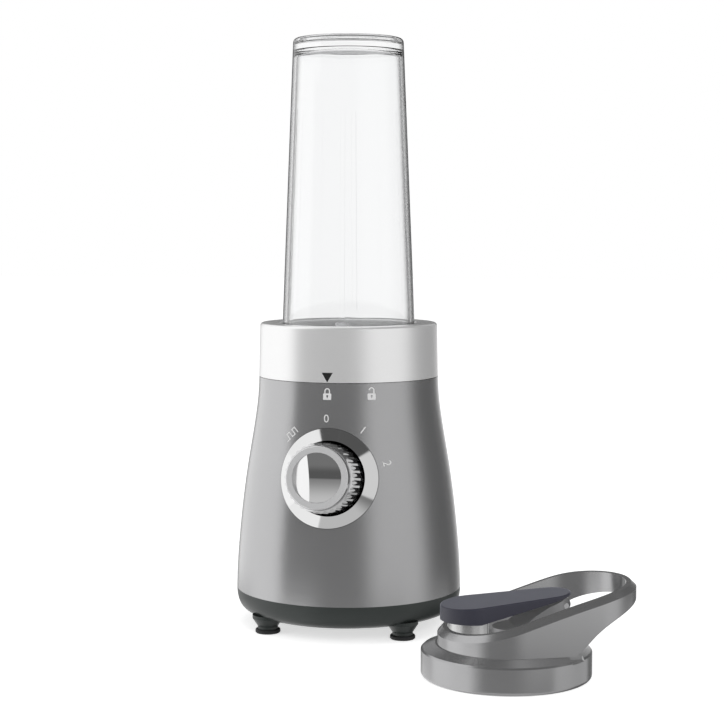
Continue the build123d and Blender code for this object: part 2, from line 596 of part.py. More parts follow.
def stator_core():
    """Laminated ring with two poles and four bolt ears."""
    z0, z1 = STATOR_Z, STATOR_Z + STATOR_HEIGHT
    yoke = tube(STATOR_R, STATOR_R - STATOR_YOKE, z0, z1)
    pole = sector(STATOR_R - STATOR_YOKE + 1, POLE_BORE_R, POLE_ANGLE, z0, z1)
    ear = polar(0, BOLT_PLACE_R) * disc(EAR_R, z0, z1)
    hole = polar(0, BOLT_PLACE_R) * disc(BOLT_R + FIT, z0 - 1, z1 + 1)
    core = joined([yoke] + repeated(pole, (0, 180)) + repeated(ear, BOLT_ANGLES))
    for piece in repeated(hole, BOLT_ANGLES):
        core = core - piece
    return core


def field_coils():
    """Two windings, each a closed loop round one pole."""
    outer = STATOR_R - STATOR_YOKE - COIL_GAP
    z0, z1 = STATOR_Z - COIL_OVERHANG, STATOR_Z + STATOR_HEIGHT + COIL_OVERHANG
    gap_half = (180 - POLE_ANGLE) / 2
    side_angle = gap_half - 5.0
    full = POLE_ANGLE + 2 * side_angle
    loop = sector(outer, COIL_INNER_R, full, z0, z1)
    window = sector(outer + 1, COIL_INNER_R - 1, POLE_ANGLE + 2.0, STATOR_Z - COIL_GAP,
                    STATOR_Z + STATOR_HEIGHT + COIL_GAP)
    return group(repeated(loop - window, (0, 180)))


def armature_core():
    """Slotted rotor stack."""
    core = tube(POLE_BORE_R - AIR_GAP, SHAFT_R, STATOR_Z, STATOR_Z + STATOR_HEIGHT)
    slot = Pos(POLE_BORE_R - AIR_GAP - 2.0, 0, 0) * disc(1.6, STATOR_Z - 1, STATOR_Z + STATOR_HEIGHT + 1)
    mouth = block(POLE_BORE_R - AIR_GAP - 2.0, POLE_BORE_R, -0.6, 0.6,
                  STATOR_Z - 1, STATOR_Z + STATOR_HEIGHT + 1)
    for piece in repeated(slot + mouth, even_angles(12)):
        core = core - piece
    return core


def armature_winding():
    """End turns above and below the rotor stack."""
    top = STATOR_Z + STATOR_HEIGHT
    profile = [(SHAFT_R, 0), (WINDING_R, 0), (WINDING_R, WINDING_OVERHANG * 0.6),
               (WINDING_R - 4, WINDING_OVERHANG), (SHAFT_R, WINDING_OVERHANG)]
    upper = Pos(0, 0, top) * turned(profile)
    lower = Pos(0, 0, STATOR_Z) * Rot(X=180) * turned(profile)
    return group([upper, lower])


def commutator():
    """Copper drum with slots between its bars."""
    drum = tube(COMMUTATOR_R, SHAFT_R, COMMUTATOR_Z, COMMUTATOR_Z + COMMUTATOR_H)
    slot = block(COMMUTATOR_R - COMMUTATOR_SLOT_D, COMMUTATOR_R + 1, -COMMUTATOR_SLOT_W / 2,
                 COMMUTATOR_SLOT_W / 2, COMMUTATOR_Z - 1, COMMUTATOR_Z + COMMUTATOR_H + 1)
    for piece in repeated(slot, even_angles(COMMUTATOR_BARS, 360 / COMMUTATOR_BARS / 2)):
        drum = drum - piece
    return drum


def motor_shaft():
    """Steel shaft from the lower bearing to the drive coupler."""
    return disc(SHAFT_R, SHAFT_BOTTOM_Z, COUPLER_TOP_Z - 1.0)


def cooling_fan():
    """Radial fan under the rotor."""
    hub = tube(FAN_HUB_R, SHAFT_R, FAN_Z, FAN_Z + FAN_BLADE_H)
    plate = tube(FAN_R, SHAFT_R, FAN_Z, FAN_Z + FAN_DISC_T)
    blade = block(FAN_HUB_R - 1, FAN_R - 1.0, -FAN_BLADE_T / 2, FAN_BLADE_T / 2,
                  FAN_Z, FAN_Z + FAN_BLADE_H)
    return joined([hub, plate] + repeated(blade, even_angles(FAN_BLADE_COUNT)))


def holder_middle_z():
    """Height of the brushes."""
    return COMMUTATOR_Z + COMMUTATOR_H / 2


def brush_holders():
    """Two brass boxes under the upper plate."""
    z = holder_middle_z()
    half_w, half_h = BRUSH_WIDTH / 2 + BRUSH_GAP, BRUSH_HEIGHT / 2 + BRUSH_GAP
    box = block(HOLDER_INNER_R, HOLDER_OUTER_R, -half_w - HOLDER_WALL, half_w + HOLDER_WALL,
                z - half_h - HOLDER_WALL, UPPER_PLATE_Z)
    bore = block(HOLDER_INNER_R - 1, HOLDER_OUTER_R - HOLDER_END_T, -half_w, half_w, z - half_h, z + half_h)
    return group(repeated(box - bore, (0, 180)))


def carbon_brushes():
    """Two blocks bearing on the commutator."""
    z = holder_middle_z()
    start = COMMUTATOR_R + BRUSH_GAP
    brush = block(start, start + BRUSH_LENGTH, -BRUSH_WIDTH / 2, BRUSH_WIDTH / 2,
                  z - BRUSH_HEIGHT / 2, z + BRUSH_HEIGHT / 2)
    return group(repeated(brush, (0, 180)))


def brush_springs():
    """Two springs between the brushes and the ends of their holders."""
    start = COMMUTATOR_R + BRUSH_GAP + BRUSH_LENGTH
    length = HOLDER_OUTER_R - HOLDER_END_T - start
    spring = Pos(start, 0, holder_middle_z()) * Rot(Y=90) * coil(SPRING_R, SPRING_WIRE, length)
    return group(repeated(spring, (0, 180)))


def motor_bolts():
    """Four long bolts that hold both plates and the stator."""
    top = UPPER_PLATE_Z + BRACKET_T
    bolt = disc(BOLT_R, LOWER_PLATE_Z - 3.0, top) + disc(BOLT_HEAD_R, top, top + BOLT_HEAD_H)
    nut = Pos(0, 0, LOWER_PLATE_Z - 2.4) * extrude(RegularPolygon(BOLT_HEAD_R, 6), 2.4)
    return group([polar(angle, BOLT_PLACE_R) * (bolt + nut) for angle in BOLT_ANGLES])


def bolt_spacers():
    """Tubes on the bolts below and above the stator."""
    stator_top = STATOR_Z + STATOR_HEIGHT
    spans = ((LOWER_PLATE_Z + BRACKET_T, STATOR_Z), (stator_top, UPPER_PLATE_Z))
    tubes = [tube(SPACER_R, BOLT_R + FIT, z0, z1) for z0, z1 in spans]
    return group([polar(angle, BOLT_PLACE_R) * piece for angle in BOLT_ANGLES for piece in tubes])


def dogs(z0, z1, first_angle):
    """Coupler teeth."""
    dog = sector(COUPLER_R - DOG_EDGE, DOG_INNER_R, DOG_ANGLE, z0, z1)
    return repeated(dog, even_angles(DOG_COUNT, first_angle))


def drive_coupler():
    """Lower half of the clutch, on the motor shaft."""
    neck = disc(COUPLER_NECK_R, COUPLER_BOTTOM_Z, COUPLER_TOP_Z)
    plate = disc(COUPLER_R, COUPLER_TOP_Z - COUPLER_DISC_T, COUPLER_TOP_Z)
    body = joined([neck, plate] + dogs(COUPLER_TOP_Z, COUPLER_TOP_Z + DOG_HEIGHT, 0.0))
    return body - disc(SHAFT_R, COUPLER_BOTTOM_Z - 1, COUPLER_TOP_Z - 1.0)


def driven_plate_z():
    """Underside of the driven coupler's plate."""
    return COUPLER_TOP_Z + DOG_HEIGHT + DOG_END_GAP


def driven_coupler():
    """Upper half of the clutch, on the blade shaft. Its dogs leave room for the locking turn."""
    z = driven_plate_z()
    plate = disc(COUPLER_R, z, z + DRIVEN_DISC_T)
    body = joined([plate] + dogs(COUPLER_TOP_Z + DOG_END_GAP, z, DOG_ANGLE + DOG_LEAD_ANGLE))
    return body - disc(BLADE_SHAFT_R, z + 1.0, z + DRIVEN_DISC_T + 1)


# ---- Dial ----
def wall_depth(angle, radius):
    """How far the housing wall lies behind the dial's tangent plane, at a point round the dial."""
    across = radius * cos(radians(angle))
    up = radius * sin(radians(angle))
    tilt = radians(DIAL_TILT)
    depth = 0.0
    for _ in range(12):
        z = DIAL_Z + up * cos(tilt) - depth * sin(tilt)
        wall = sqrt(housing_radius(z) ** 2 - across ** 2)
        depth = (DIAL_WALL_R - wall - up * sin(tilt)) / cos(tilt)
    return depth


def bezel_section(angle):
    """Radial section of the bezel at an angle round the dial, before its edges are trimmed round."""
    outer_top = BEZEL_PROUD - wall_depth(angle, BEZEL_R)
    slope = (outer_top + BEZEL_FACE_DEPTH) / (BEZEL_R - BEZEL_INNER_R)
    spare = 1.0
    plane = Plane(
        origin=(0, 0, 0),
        x_dir=(cos(radians(angle)), sin(radians(angle)), 0),
        z_dir=(sin(radians(angle)), -cos(radians(angle)), 0),
    )
    low = -BEZEL_BACK_DEPTH - spare
    return plane * make_face(Polyline(
        (BEZEL_INNER_R - spare, low), (BEZEL_R + spare, low),
        (BEZEL_R + spare, outer_top + slope * spare),
        (BEZEL_INNER_R - spare, -BEZEL_FACE_DEPTH - slope * spare), close=True,
    ))


def dial_bezel():
    """Bright ring round the knob: a round cup whose flange follows the housing's curve."""
    steps = 6
    round_shape = tube(BEZEL_R, BEZEL_INNER_R, -BEZEL_BACK_DEPTH, BEZEL_R)
    ring = joined([
        loft([bezel_section(quarter + 90.0 * step / steps) for step in range(steps + 1)]) & round_shape
        for quarter in (0.0, 90.0, 180.0, 270.0)
    ])
    floor = disc(BEZEL_INNER_R + 2.0, -BEZEL_BACK_DEPTH, -BEZEL_BACK_DEPTH + BEZEL_FLOOR_T)
    bezel = on_dial(ring + floor - disc(SWITCH_NECK_R + FIT, -20, 20))
    plug = on_dial(disc(BEZEL_PLUG_R, -30, 30))
    return bezel - (housing_block() - plug)


def rotary_switch():
    """Switch body behind the bezel with a threaded neck through it."""
    back = -BEZEL_BACK_DEPTH
    body = disc(SWITCH_R, back - SWITCH_DEPTH, back)
    neck = disc(SWITCH_NECK_R, back - 0.1, back + BEZEL_FLOOR_T + SWITCH_NECK_PROUD)
    bore = disc(SPINDLE_R + RUNNING, back - SWITCH_DEPTH + 2.0, 10)
    tab_z = back - SWITCH_DEPTH + 1.0
    tab = block(-1.2, 1.2, SWITCH_R - 0.5, SWITCH_R + 4.0, tab_z, tab_z + 0.8)
    tabs = repeated(tab, (60, 90, 120))
    return on_dial(joined([body, neck] + tabs) - bore)


def switch_nut():
    """Hexagon nut that clamps the bezel to the switch."""
    z = -BEZEL_BACK_DEPTH + BEZEL_FLOOR_T
    nut = Pos(0, 0, z) * extrude(RegularPolygon(SWITCH_NUT_R, 6), SWITCH_NUT_T)
    return on_dial(nut - disc(SWITCH_NECK_R + FIT, z - 1, z + SWITCH_NUT_T + 1))


def knob_base_z():
    """Lower edge of the knob's skirt."""
    return -BEZEL_BACK_DEPTH + BEZEL_FLOOR_T + KNOB_BASE_GAP


def knob_body():
    """Fluted knob with a raised ring round its face."""
    z0 = knob_base_z()
    face = make_face([
        Plane.XZ * Line((0, z0), (KNOB_BASE_R, z0)),
        Plane.XZ * Line((KNOB_BASE_R, z0), (KNOB_TOP_R, KNOB_GRIP_H)),
        Plane.XZ * Line((KNOB_TOP_R, KNOB_GRIP_H), (KNOB_SHOULDER_R, KNOB_SHOULDER_H)),
        Plane.XZ * Spline((KNOB_SHOULDER_R, KNOB_SHOULDER_H), (KNOB_FACE_R, KNOB_HEIGHT - KNOB_FACE_EDGE),
                          tangents=[(-0.05, 1), (-1, 0.8)]),
        Plane.XZ * Line((KNOB_FACE_R, KNOB_HEIGHT - KNOB_FACE_EDGE), (KNOB_FACE_R, KNOB_HEIGHT)),
        Plane.XZ * Line((KNOB_FACE_R, KNOB_HEIGHT), (0, KNOB_HEIGHT)),
        Plane.XZ * Line((0, KNOB_HEIGHT), (0, z0)),
    ])
    body = revolve(face, Axis.Z)
    roof = KNOB_HEIGHT - KNOB_CAP_DEPTH - KNOB_ROOF
    hollow = disc(KNOB_TOP_R - KNOB_FLUTE_SINK - KNOB_WALL, z0 - 1, roof)
    stem_top = SPINDLE_TIP_H + 1.0
    stem_z = -BEZEL_BACK_DEPTH + BEZEL_FLOOR_T + SWITCH_NECK_PROUD + 1.0
    body = body - (hollow - disc(KNOB_STEM_R, stem_z, roof))
    body = body - disc(KNOB_FACE_R - KNOB_RING_WIDTH, KNOB_HEIGHT - KNOB_CAP_DEPTH, KNOB_HEIGHT + 1)
    lean = degrees(atan2(KNOB_BASE_R - KNOB_TOP_R, KNOB_GRIP_H - z0))
    groove = Rot(Y=-lean) * disc(KNOB_FLUTE_R, -1, KNOB_SHOULDER_H - z0 + 0.5)
    offset = KNOB_BASE_R + KNOB_FLUTE_R - KNOB_FLUTE_SINK
    for piece in repeated(Pos(offset, 0, z0) * groove, even_angles(KNOB_FLUTE_COUNT, 6.0)):
        body = body - piece
    notch = Rot(Y=-lean) * disc(KNOB_NOTCH_R, -1, KNOB_HEIGHT - z0 + 1)
    body = body - Rot(Z=90) * Pos(KNOB_BASE_R + KNOB_NOTCH_R * 0.3, 0, z0) * notch
    return on_dial(body - spindle_bar(FIT, stem_top))


def spindle_bar(play, top):
    """Round bar with a flat, about the dial's axis."""
    bar = disc(SPINDLE_R + play, -BEZEL_BACK_DEPTH - SWITCH_DEPTH + 2.5, top)
    flat = block(-10, 10, SPINDLE_R - SPINDLE_FLAT + play, 10, SPINDLE_FLAT_H + play, top + 1)
    return bar - flat


def switch_spindle():
    """Turning spindle of the switch, fixed in the knob."""
    return on_dial(spindle_bar(0.0, SPINDLE_TIP_H))


def knob_cap():
    """Bright dished disc in the knob's face."""
    radius = KNOB_FACE_R - KNOB_RING_WIDTH - FIT
    z0 = KNOB_HEIGHT - KNOB_CAP_DEPTH
    dish_depth = radius ** 2 / (2 * KNOB_CAP_DISH_R)
    plate = disc(radius, z0, z0 + KNOB_CAP_T)
    dish = Pos(0, 0, z0 + KNOB_CAP_T - dish_depth + KNOB_CAP_DISH_R) * Sphere(KNOB_CAP_DISH_R)
    return on_dial(plate - dish)


# ---- Blade unit ----
def collar_bottom():
    """Lower edge of the lock collar."""
    return SEAT_Z + BODY_GAP


def lock_collar():
    """Silver ring: outer wall, rounded top and threaded mouth."""
    z0, z1 = collar_bottom(), COLLAR_TOP_Z
    floor_z = HOLDER_DISC_Z + HOLDER_DISC_T
    body = turned([
        (COLLAR_MOUTH_R, floor_z), (COLLAR_MOUTH_R, z1), (COLLAR_TOP_R, z1), (COLLAR_BOTTOM_R, z0),
        (COLLAR_BOTTOM_R - COLLAR_WALL, z0), (COLLAR_TOP_R - COLLAR_WALL, z1 - COLLAR_WALL),
        (COLLAR_MOUTH_R + COLLAR_INNER_WALL, z1 - COLLAR_WALL), (COLLAR_MOUTH_R + COLLAR_INNER_WALL, floor_z),
    ])
    top_edges = body.edges().filter_by(GeomType.CIRCLE).group_by(Axis.Z)[-1].sort_by(SortBy.RADIUS)
    body = fillet([top_edges[-1]], COLLAR_EDGE_R)
    inner = body.edges().filter_by(GeomType.CIRCLE).group_by(Axis.Z)[-1].sort_by(SortBy.RADIUS)[0]
    body = fillet([inner], COLLAR_EDGE_R * 0.6)
    z = collar_thread_z()
    thread = sector(COLLAR_MOUTH_R + 0.5, COLLAR_MOUTH_R - COLLAR_THREAD_REACH, THREAD_ANGLE, z, z + THREAD_T)
    return joined([body] + repeated(thread, even_angles(THREAD_COUNT, 45.0)))


def cup_rim_z():
    """Height of the cup's open rim, which points down."""
    return HOLDER_DISC_Z + HOLDER_DISC_T + GASKET_T + CUP_RIM_GAP


def cup_thread_z():
    """Lower side of the cup's thread lugs."""
    return cup_rim_z() + 0.6


def collar_thread_z():
    """Lower side of the collar's thread lugs, above the cup's."""
    return cup_thread_z() + THREAD_T + LUG_GAP


def blade_holder():
    """Black floor of the blade unit with the bearing boss, a skirt and bayonet lugs."""
    z0, z1 = HOLDER_DISC_Z, HOLDER_DISC_Z + HOLDER_DISC_T
    edge = COLLAR_BOTTOM_R - COLLAR_WALL - FIT - (z1 - collar_bottom()) * (
        COLLAR_BOTTOM_R - COLLAR_TOP_R) / (COLLAR_TOP_Z - collar_bottom())
    plate = disc(edge, z0, z1)
    boss = turned([(0, BOSS_BOTTOM_Z), (BOSS_R, BOSS_BOTTOM_Z), (BOSS_R, z1 + 2), (BOSS_R - 1.5, BOSS_TOP_Z),
                   (0, BOSS_TOP_Z)])
    skirt = tube(SKIRT_R, SKIRT_R - SKIRT_WALL, SKIRT_BOTTOM_Z, z0 + 0.5)
    lug_top = LEDGE_Z - BODY_GAP
    lug = sector(WELL_R - LUG_GAP, SKIRT_R - 0.5, LUG_WIDTH_ANGLE, lug_top - LUG_T, lug_top)
    body = joined([plate, boss, skirt] + repeated(lug, lug_angles()))
    body = body - disc(BUSH_R + FIT, BOSS_TOP_Z - SEAL_HEIGHT - BUSH_HEIGHT, BOSS_TOP_Z + 1)
    return body - disc(BLADE_SHAFT_R + 0.6, BOSS_BOTTOM_Z - 1, BOSS_TOP_Z + 1)


def cup_gasket():
    """Rubber ring under the cup's rim."""
    z = HOLDER_DISC_Z + HOLDER_DISC_T
    return tube(GASKET_OUTER_R, GASKET_INNER_R, z, z + GASKET_T)


def blade_bearing():
    """Bronze bush of the blade shaft."""
    top = BOSS_TOP_Z - SEAL_HEIGHT
    return tube(BUSH_R, BLADE_SHAFT_R + RUNNING, top - BUSH_HEIGHT, top)


def shaft_seal():
    """Rubber seal over the bush."""
    return tube(BUSH_R, BLADE_SHAFT_R + RUNNING, BOSS_TOP_Z - SEAL_HEIGHT, BOSS_TOP_Z)


# ---- Blades ----
def blade_stack_z():
    """Underside of the lower blade's hub."""
    return BOSS_TOP_Z + BLADE_GAP + BLADE_SPACER_T


def blade_shaft():
    """Steel shaft from the driven coupler up through the blades."""
    top = blade_stack_z() + 2 * BLADE_T + BLADE_SPACER_T + BLADE_NUT_T + 1.0
    shaft = disc(BLADE_SHAFT_R, driven_plate_z() + 1.0, top)
    return chamfer(shaft.edges().group_by(Axis.Z)[-1], 0.6)


def blade_washers():
    """Washers under the lower blade and between both blades."""
    z0 = BOSS_TOP_Z + BLADE_GAP
    z1 = blade_stack_z() + BLADE_T
    return group([tube(BLADE_HUB_R - 1.5, BLADE_SHAFT_R, z, z + BLADE_SPACER_T) for z in (z0, z1)])


def blade(z, reach, bend, turn):
    """Two-armed blade: a flat hub with arms bent along a crease and tapered to their tips."""
    hub = Pos(0, 0, z) * extrude(Circle(BLADE_HUB_R), BLADE_T)
    length = reach - BLADE_HUB_R * 0.8
    half, tip = BLADE_WIDTH / 2, BLADE_WIDTH / 2 * BLADE_TIP_TAPER
    outline = make_face(Polyline(
        (0, -half), (length * 0.55, -half), (length, -tip), (length, half * 0.9), (0, half), close=True))
    arm = extrude(outline, BLADE_T)
    placed = Pos(BLADE_HUB_R * 0.8, 0, z) * Rot(Y=-bend) * arm
    root = block(0, BLADE_HUB_R * 0.8 + 0.6, -half, half, z, z + BLADE_T) & (
        Pos(0, 0, z) * extrude(Circle(BLADE_HUB_R * 0.8 + 0.6), BLADE_T))
    body = joined([hub] + [Rot(Z=a) * piece for a in (0, 180) for piece in (placed, root)])
    return Rot(Z=turn) * (body - disc(BLADE_SHAFT_R, z - 1, z + BLADE_T + 1))


def lower_blade():
    """Blade with arms bent down towards the cup's floor."""
    return blade(blade_stack_z(), LOWER_BLADE_REACH, LOWER_BLADE_BEND * 0.35, 20.0)


def upper_blade():
    """Blade with arms bent up."""
    return blade(blade_stack_z() + BLADE_T + BLADE_SPACER_T, UPPER_BLADE_REACH, UPPER_BLADE_BEND, 110.0)


def blade_nut():
    """Domed nut on top of the blades."""
    z = blade_stack_z() + 2 * BLADE_T + BLADE_SPACER_T
    nut = Pos(0, 0, z) * extrude(RegularPolygon(BLADE_NUT_R, 6), BLADE_NUT_T)
    return nut - disc(BLADE_SHAFT_R, z - 1, z + BLADE_NUT_T + 1)


# ---- Cup ----
def cup_radius(z):
    """Outer radius of the cup's tapered wall."""
    share = (z - cup_rim_z()) / (CUP_TOP_Z - cup_rim_z())
    return CUP_RIM_R + (CUP_TOP_R - CUP_RIM_R) * share


def cup():
    """Clear cup standing on its open rim, with inner ribs and thread lugs."""
    z0, z1 = cup_rim_z(), CUP_TOP_Z
    outer = turned([(0, z0), (CUP_RIM_R, z0), (CUP_TOP_R, z1), (0, z1)])
    outer = fillet(outer.edges().filter_by(GeomType.CIRCLE).group_by(Axis.Z)[-1], CUP_EDGE_R)
    floor_z = z1 - CUP_END_RECESS - CUP_END_T
    inner = turned([(0, z0 - 1), (cup_radius(z0 - 1) - CUP_WALL, z0 - 1),
                    (cup_radius(floor_z) - CUP_WALL, floor_z), (0, floor_z)])
    inner = fillet(inner.edges().filter_by(GeomType.CIRCLE).group_by(Axis.Z)[-1], CUP_INNER_EDGE_R)
    recess = disc(CUP_TOP_R - CUP_END_RING_WIDTH, z1 - CUP_END_RECESS, z1 + 1)
    recess = fillet(recess.edges().group_by(Axis.Z)[0], 1.5)
    rib_r = cup_radius(RIB_BOTTOM_Z) - CUP_WALL
    lean = degrees(atan2(CUP_RIM_R - CUP_TOP_R, z1 - z0))
    length = RIB_TOP_Z - RIB_BOTTOM_Z
    rib = Pos(rib_r - RIB_DEPTH, 0, RIB_BOTTOM_Z + length / 2) * Rot(Y=-lean) * Pos(
        RIB_DEPTH / 2 - 2.4, 0, 0) * Rot(Y=90) * extrude(SlotOverall(length, RIB_WIDTH), RIB_DEPTH + 3.0)
    ribs = [piece & outer for piece in repeated(rib, even_angles(RIB_COUNT, RIB_FIRST_ANGLE))]
    thread = sector(CUP_RIM_R + CUP_THREAD_REACH, CUP_RIM_R - 1.0, THREAD_ANGLE,
                    cup_thread_z(), cup_thread_z() + THREAD_T)
    return joined([outer - inner - recess] + ribs + repeated(thread, even_angles(THREAD_COUNT)))


# ---- Travel lid ----
def at_lid(shape):
    """Move a shape from the lid's own frame to its place beside the base."""
    return Pos(LID_X, LID_Y, 0) * Rot(Z=LID_TURN) * shape


def side_profile(points, close_to):
    """Prism across the lid under a curve given by (u, z) points."""
    curve = Plane.XZ * Spline(*points)
    (u0, z0), (u1, z1) = points[0], points[-1]
    face = make_face([
        curve,
        Plane.XZ * Line((u1, z1), (u1, close_to)),
        Plane.XZ * Line((u1, close_to), (u0, close_to)),
        Plane.XZ * Line((u0, close_to), (u0, z0)),
    ])
    half_width = LID_R + 10
    return Pos(0, half_width, 0) * extrude(face, 2 * half_width, dir=(0, -1, 0))


def lid_body():
    """Round screw cap with a raised deck, a spout hole and two notches for the loop's arms."""
    z_in = DECK_Z - DECK_T
    body = turned([
        (0, DECK_Z), (DECK_R, DECK_Z), (LID_R - LID_CHAMFER, LID_RIM_Z + 0.5), (LID_R, LID_RIM_Z - 0.4),
        (LID_R, 0), (LID_R - LID_WALL, 0), (LID_R - LID_WALL, LID_SEAT_Z),
        (LID_SEAT_INNER_R, LID_SEAT_Z), (LID_SEAT_INNER_R, z_in), (0, z_in),
    ])
    foot_edge = body.edges().filter_by(GeomType.CIRCLE).group_by(Axis.Z)[0].sort_by(SortBy.RADIUS)[-1]
    body = fillet([foot_edge], LID_EDGE_R)
    thread = sector(LID_R - LID_WALL + 0.5, LID_R - LID_WALL - LID_THREAD_REACH, THREAD_ANGLE,
                    LID_THREAD_Z, LID_THREAD_Z + THREAD_T)
    body = joined([body] + repeated(thread, even_angles(THREAD_COUNT, 45.0)))
    for side in (-1, 1):
        low, high = sorted((side * NOTCH_INNER_V, side * (LID_R + 1)))
        cut = block(NOTCH_START_U, NOTCH_END_U, low, high, NOTCH_FLOOR_Z, DECK_Z + 1)
        body = body - (cut - disc(DECK_R, 0, DECK_Z + 2))
    return at_lid(body - Pos(SPOUT_U, 0, 0) * disc(SPOUT_BORE_R + SPOUT_SPIGOT + FIT, 0, DECK_Z + 1))


def lid_gasket():
    """Rubber ring under the lid's deck."""
    return at_lid(tube(LID_GASKET_OUTER_R, LID_GASKET_INNER_R, LID_SEAT_Z - LID_GASKET_T, LID_SEAT_Z))


def loop_plan(inset=0.0):
    """Stadium seen from above."""
    radius = LOOP_R - inset
    far = LOOP_TIP_U - LOOP_R
    return Pos(far / 2, 0, 0) * SlotCenterToCenter(far, 2 * radius)


def carry_loop():
    """Oval band that stands on the deck and rises to a finger loop, bevelled along its outer top edge."""
    filled = Pos(0, 0, DECK_Z) * extrude(loop_plan(), LID_CLEAR_Z - DECK_Z)
    filled = filled & side_profile(LOOP_TOP, 0.0)
    top_face = filled.faces().sort_by(Axis.Z)[-1]
    filled = chamfer(top_face.edges(), LOOP_EDGE)
    hole = Pos(0, 0, DECK_Z - 1) * extrude(loop_plan(LOOP_THICKNESS), LID_CLEAR_Z)
    return at_lid(filled - hole - side_profile(LOOP_UNDER, 0.0))


def spout():
    """Short tube standing in the deck."""
    body = disc(SPOUT_R, DECK_Z, SPOUT_TOP_Z) + disc(
        SPOUT_BORE_R + SPOUT_SPIGOT, DECK_Z - DECK_T, DECK_Z + 0.1)
    body = body - disc(SPOUT_BORE_R, 0, SPOUT_TOP_Z + 1)
    return at_lid(Pos(SPOUT_U, 0, 0) * body)


def drop_shape(u0, r0, u1, r1):
    """Convex outline round two circles on the lid's centre line."""
    lean = asin((r0 - r1) / (u1 - u0))
    a = (u0 + r0 * sin(lean), r0 * cos(lean))
    b = (u1 + r1 * sin(lean), r1 * cos(lean))
    return make_face([
        Line(a, b),
        ThreePointArc(b, (u1 + r1, 0), (b[0], -b[1])),
        Line((b[0], -b[1]), (a[0], -a[1])),
        ThreePointArc((a[0], -a[1]), (u0 - r0, 0), a),
    ])


def cap_end():
    """Right-hand end of the flip cap."""
    return CAP_RIGHT_U + CAP_RIGHT_R


def cap_underside():
    """Points along the flip cap's underside: level over the spout, then rising to the hinge."""
    return [(CAP_LEFT_U - CAP_LEFT_R, CAP_LEFT_BOTTOM_Z), (CAP_RISE_U, CAP_LEFT_BOTTOM_Z),
            (cap_end(), CAP_RIGHT_BOTTOM_Z)]


def across_lid(points):
    """Prism across the lid with straight sides, from (u, z) points."""
    return extrude(make_face(Plane.XZ * Polyline(*points, close=True)), CAP_LEFT_R + 5, both=True)


def cap_wedge():
    """Space between the underside and the sloping top of the flip cap."""
    top = [(cap_end(), CAP_RIGHT_TOP_Z), (CAP_LEFT_U - CAP_LEFT_R, CAP_LEFT_TOP_Z)]
    return across_lid(cap_underside() + top)


def upper_edge(edge):
    """Whether an edge borders the flip cap's sloping top."""
    middle = edge.center()
    share = (middle.X - CAP_LEFT_U + CAP_LEFT_R) / (cap_end() - CAP_LEFT_U + CAP_LEFT_R)
    top = CAP_LEFT_TOP_Z + (CAP_RIGHT_TOP_Z - CAP_LEFT_TOP_Z) * share
    return abs(middle.Z - top) < 0.05


def flip_cap():
    """Dark wedge-shaped cap with a knuckle on the hinge pin."""
    plan = drop_shape(CAP_LEFT_U, CAP_LEFT_R, CAP_RIGHT_U, CAP_RIGHT_R)
    plate = extrude(plan, 60) & cap_wedge()
    plate = fillet(plate.edges().filter_by(upper_edge), CAP_EDGE_R)
    half = KNUCKLE_HALF_WIDTH - BODY_GAP
    across = Pos(HINGE_U, half, HINGE_Z) * Rot(X=90) * extrude(Circle(BARREL_R - BODY_GAP), 2 * half)
    web = block(HINGE_U - BARREL_R + BODY_GAP, HINGE_U + 2.0, -half, half, HINGE_Z, CAP_RIGHT_BOTTOM_Z)
    below_top = across_lid([(CAP_LEFT_U, 0), (cap_end() + 5, 0), (cap_end() + 5, CAP_RIGHT_TOP_Z),
                            (CAP_LEFT_U, CAP_LEFT_TOP_Z)])
    knuckle = (across + web) & below_top
    bore = Pos(HINGE_U, 20, HINGE_Z) * Rot(X=90) * extrude(Circle(PIN_R + RUNNING), 40)
    return at_lid(plate + knuckle - bore)


def cap_seal():
    """Rubber plug under the flip cap that closes the spout."""
    bottom = SPOUT_TOP_Z + BODY_GAP
    body = disc(CAP_SEAL_R, bottom, CAP_LEFT_TOP_Z - 1) + disc(
        CAP_SEAL_PLUG_R, bottom - CAP_SEAL_PLUG_L, bottom + 0.1)
    return at_lid(Pos(SPOUT_U, 0, 0) * body - under_cap_cut())


def under_cap_cut():
    """Everything above the flip cap's underside."""
    left = CAP_LEFT_U - CAP_LEFT_R
    return across_lid(cap_underside() + [(cap_end(), LID_CLEAR_Z), (left, LID_CLEAR_Z)])


def hinge_hub():
    """Wedge-topped block that carries the hinge pin between two barrels."""
    plan = drop_shape(HUB_NARROW_U, HUB_NARROW_R, CAP_RIGHT_U, CAP_RIGHT_R - 0.6)
    block_body = Pos(0, 0, DECK_Z) * extrude(plan, 40)
    below = [(cap_end(), HINGE_Z + BARREL_R * 0.4), (cap_end(), DECK_Z - 1), (HUB_SLOPE[0][0], DECK_Z - 1)]
    ridge = (HINGE_U - BARREL_R * 0.55, HINGE_Z + BARREL_R * 0.8)
    hub = block_body & across_lid([*HUB_SLOPE, ridge, *below])
    sweep_r = hypot(cap_end() - HINGE_U, CAP_RIGHT_TOP_Z - HINGE_Z) + CAP_SWEEP_GAP
    sweep = Pos(HINGE_U, 30, HINGE_Z) * Rot(X=90) * extrude(Circle(sweep_r), 60)
    beyond = block(HINGE_U + 1.0, HINGE_U + 30, -30, 30, 0, 80)
    barrel = Pos(HINGE_U, 30, HINGE_Z) * Rot(X=90) * extrude(Circle(BARREL_R), 60)
    hub = hub - (sweep & beyond) + (barrel & block_body)
    slot = block(HINGE_U - BARREL_R - 0.4, HINGE_U + 30, -KNUCKLE_HALF_WIDTH, KNUCKLE_HALF_WIDTH,
                 HINGE_Z - BARREL_R - 0.2, 80)
    bore = Pos(HINGE_U, 30, HINGE_Z) * Rot(X=90) * extrude(Circle(PIN_R + FIT * 0.5), 60)
    return at_lid(hub - slot - bore)


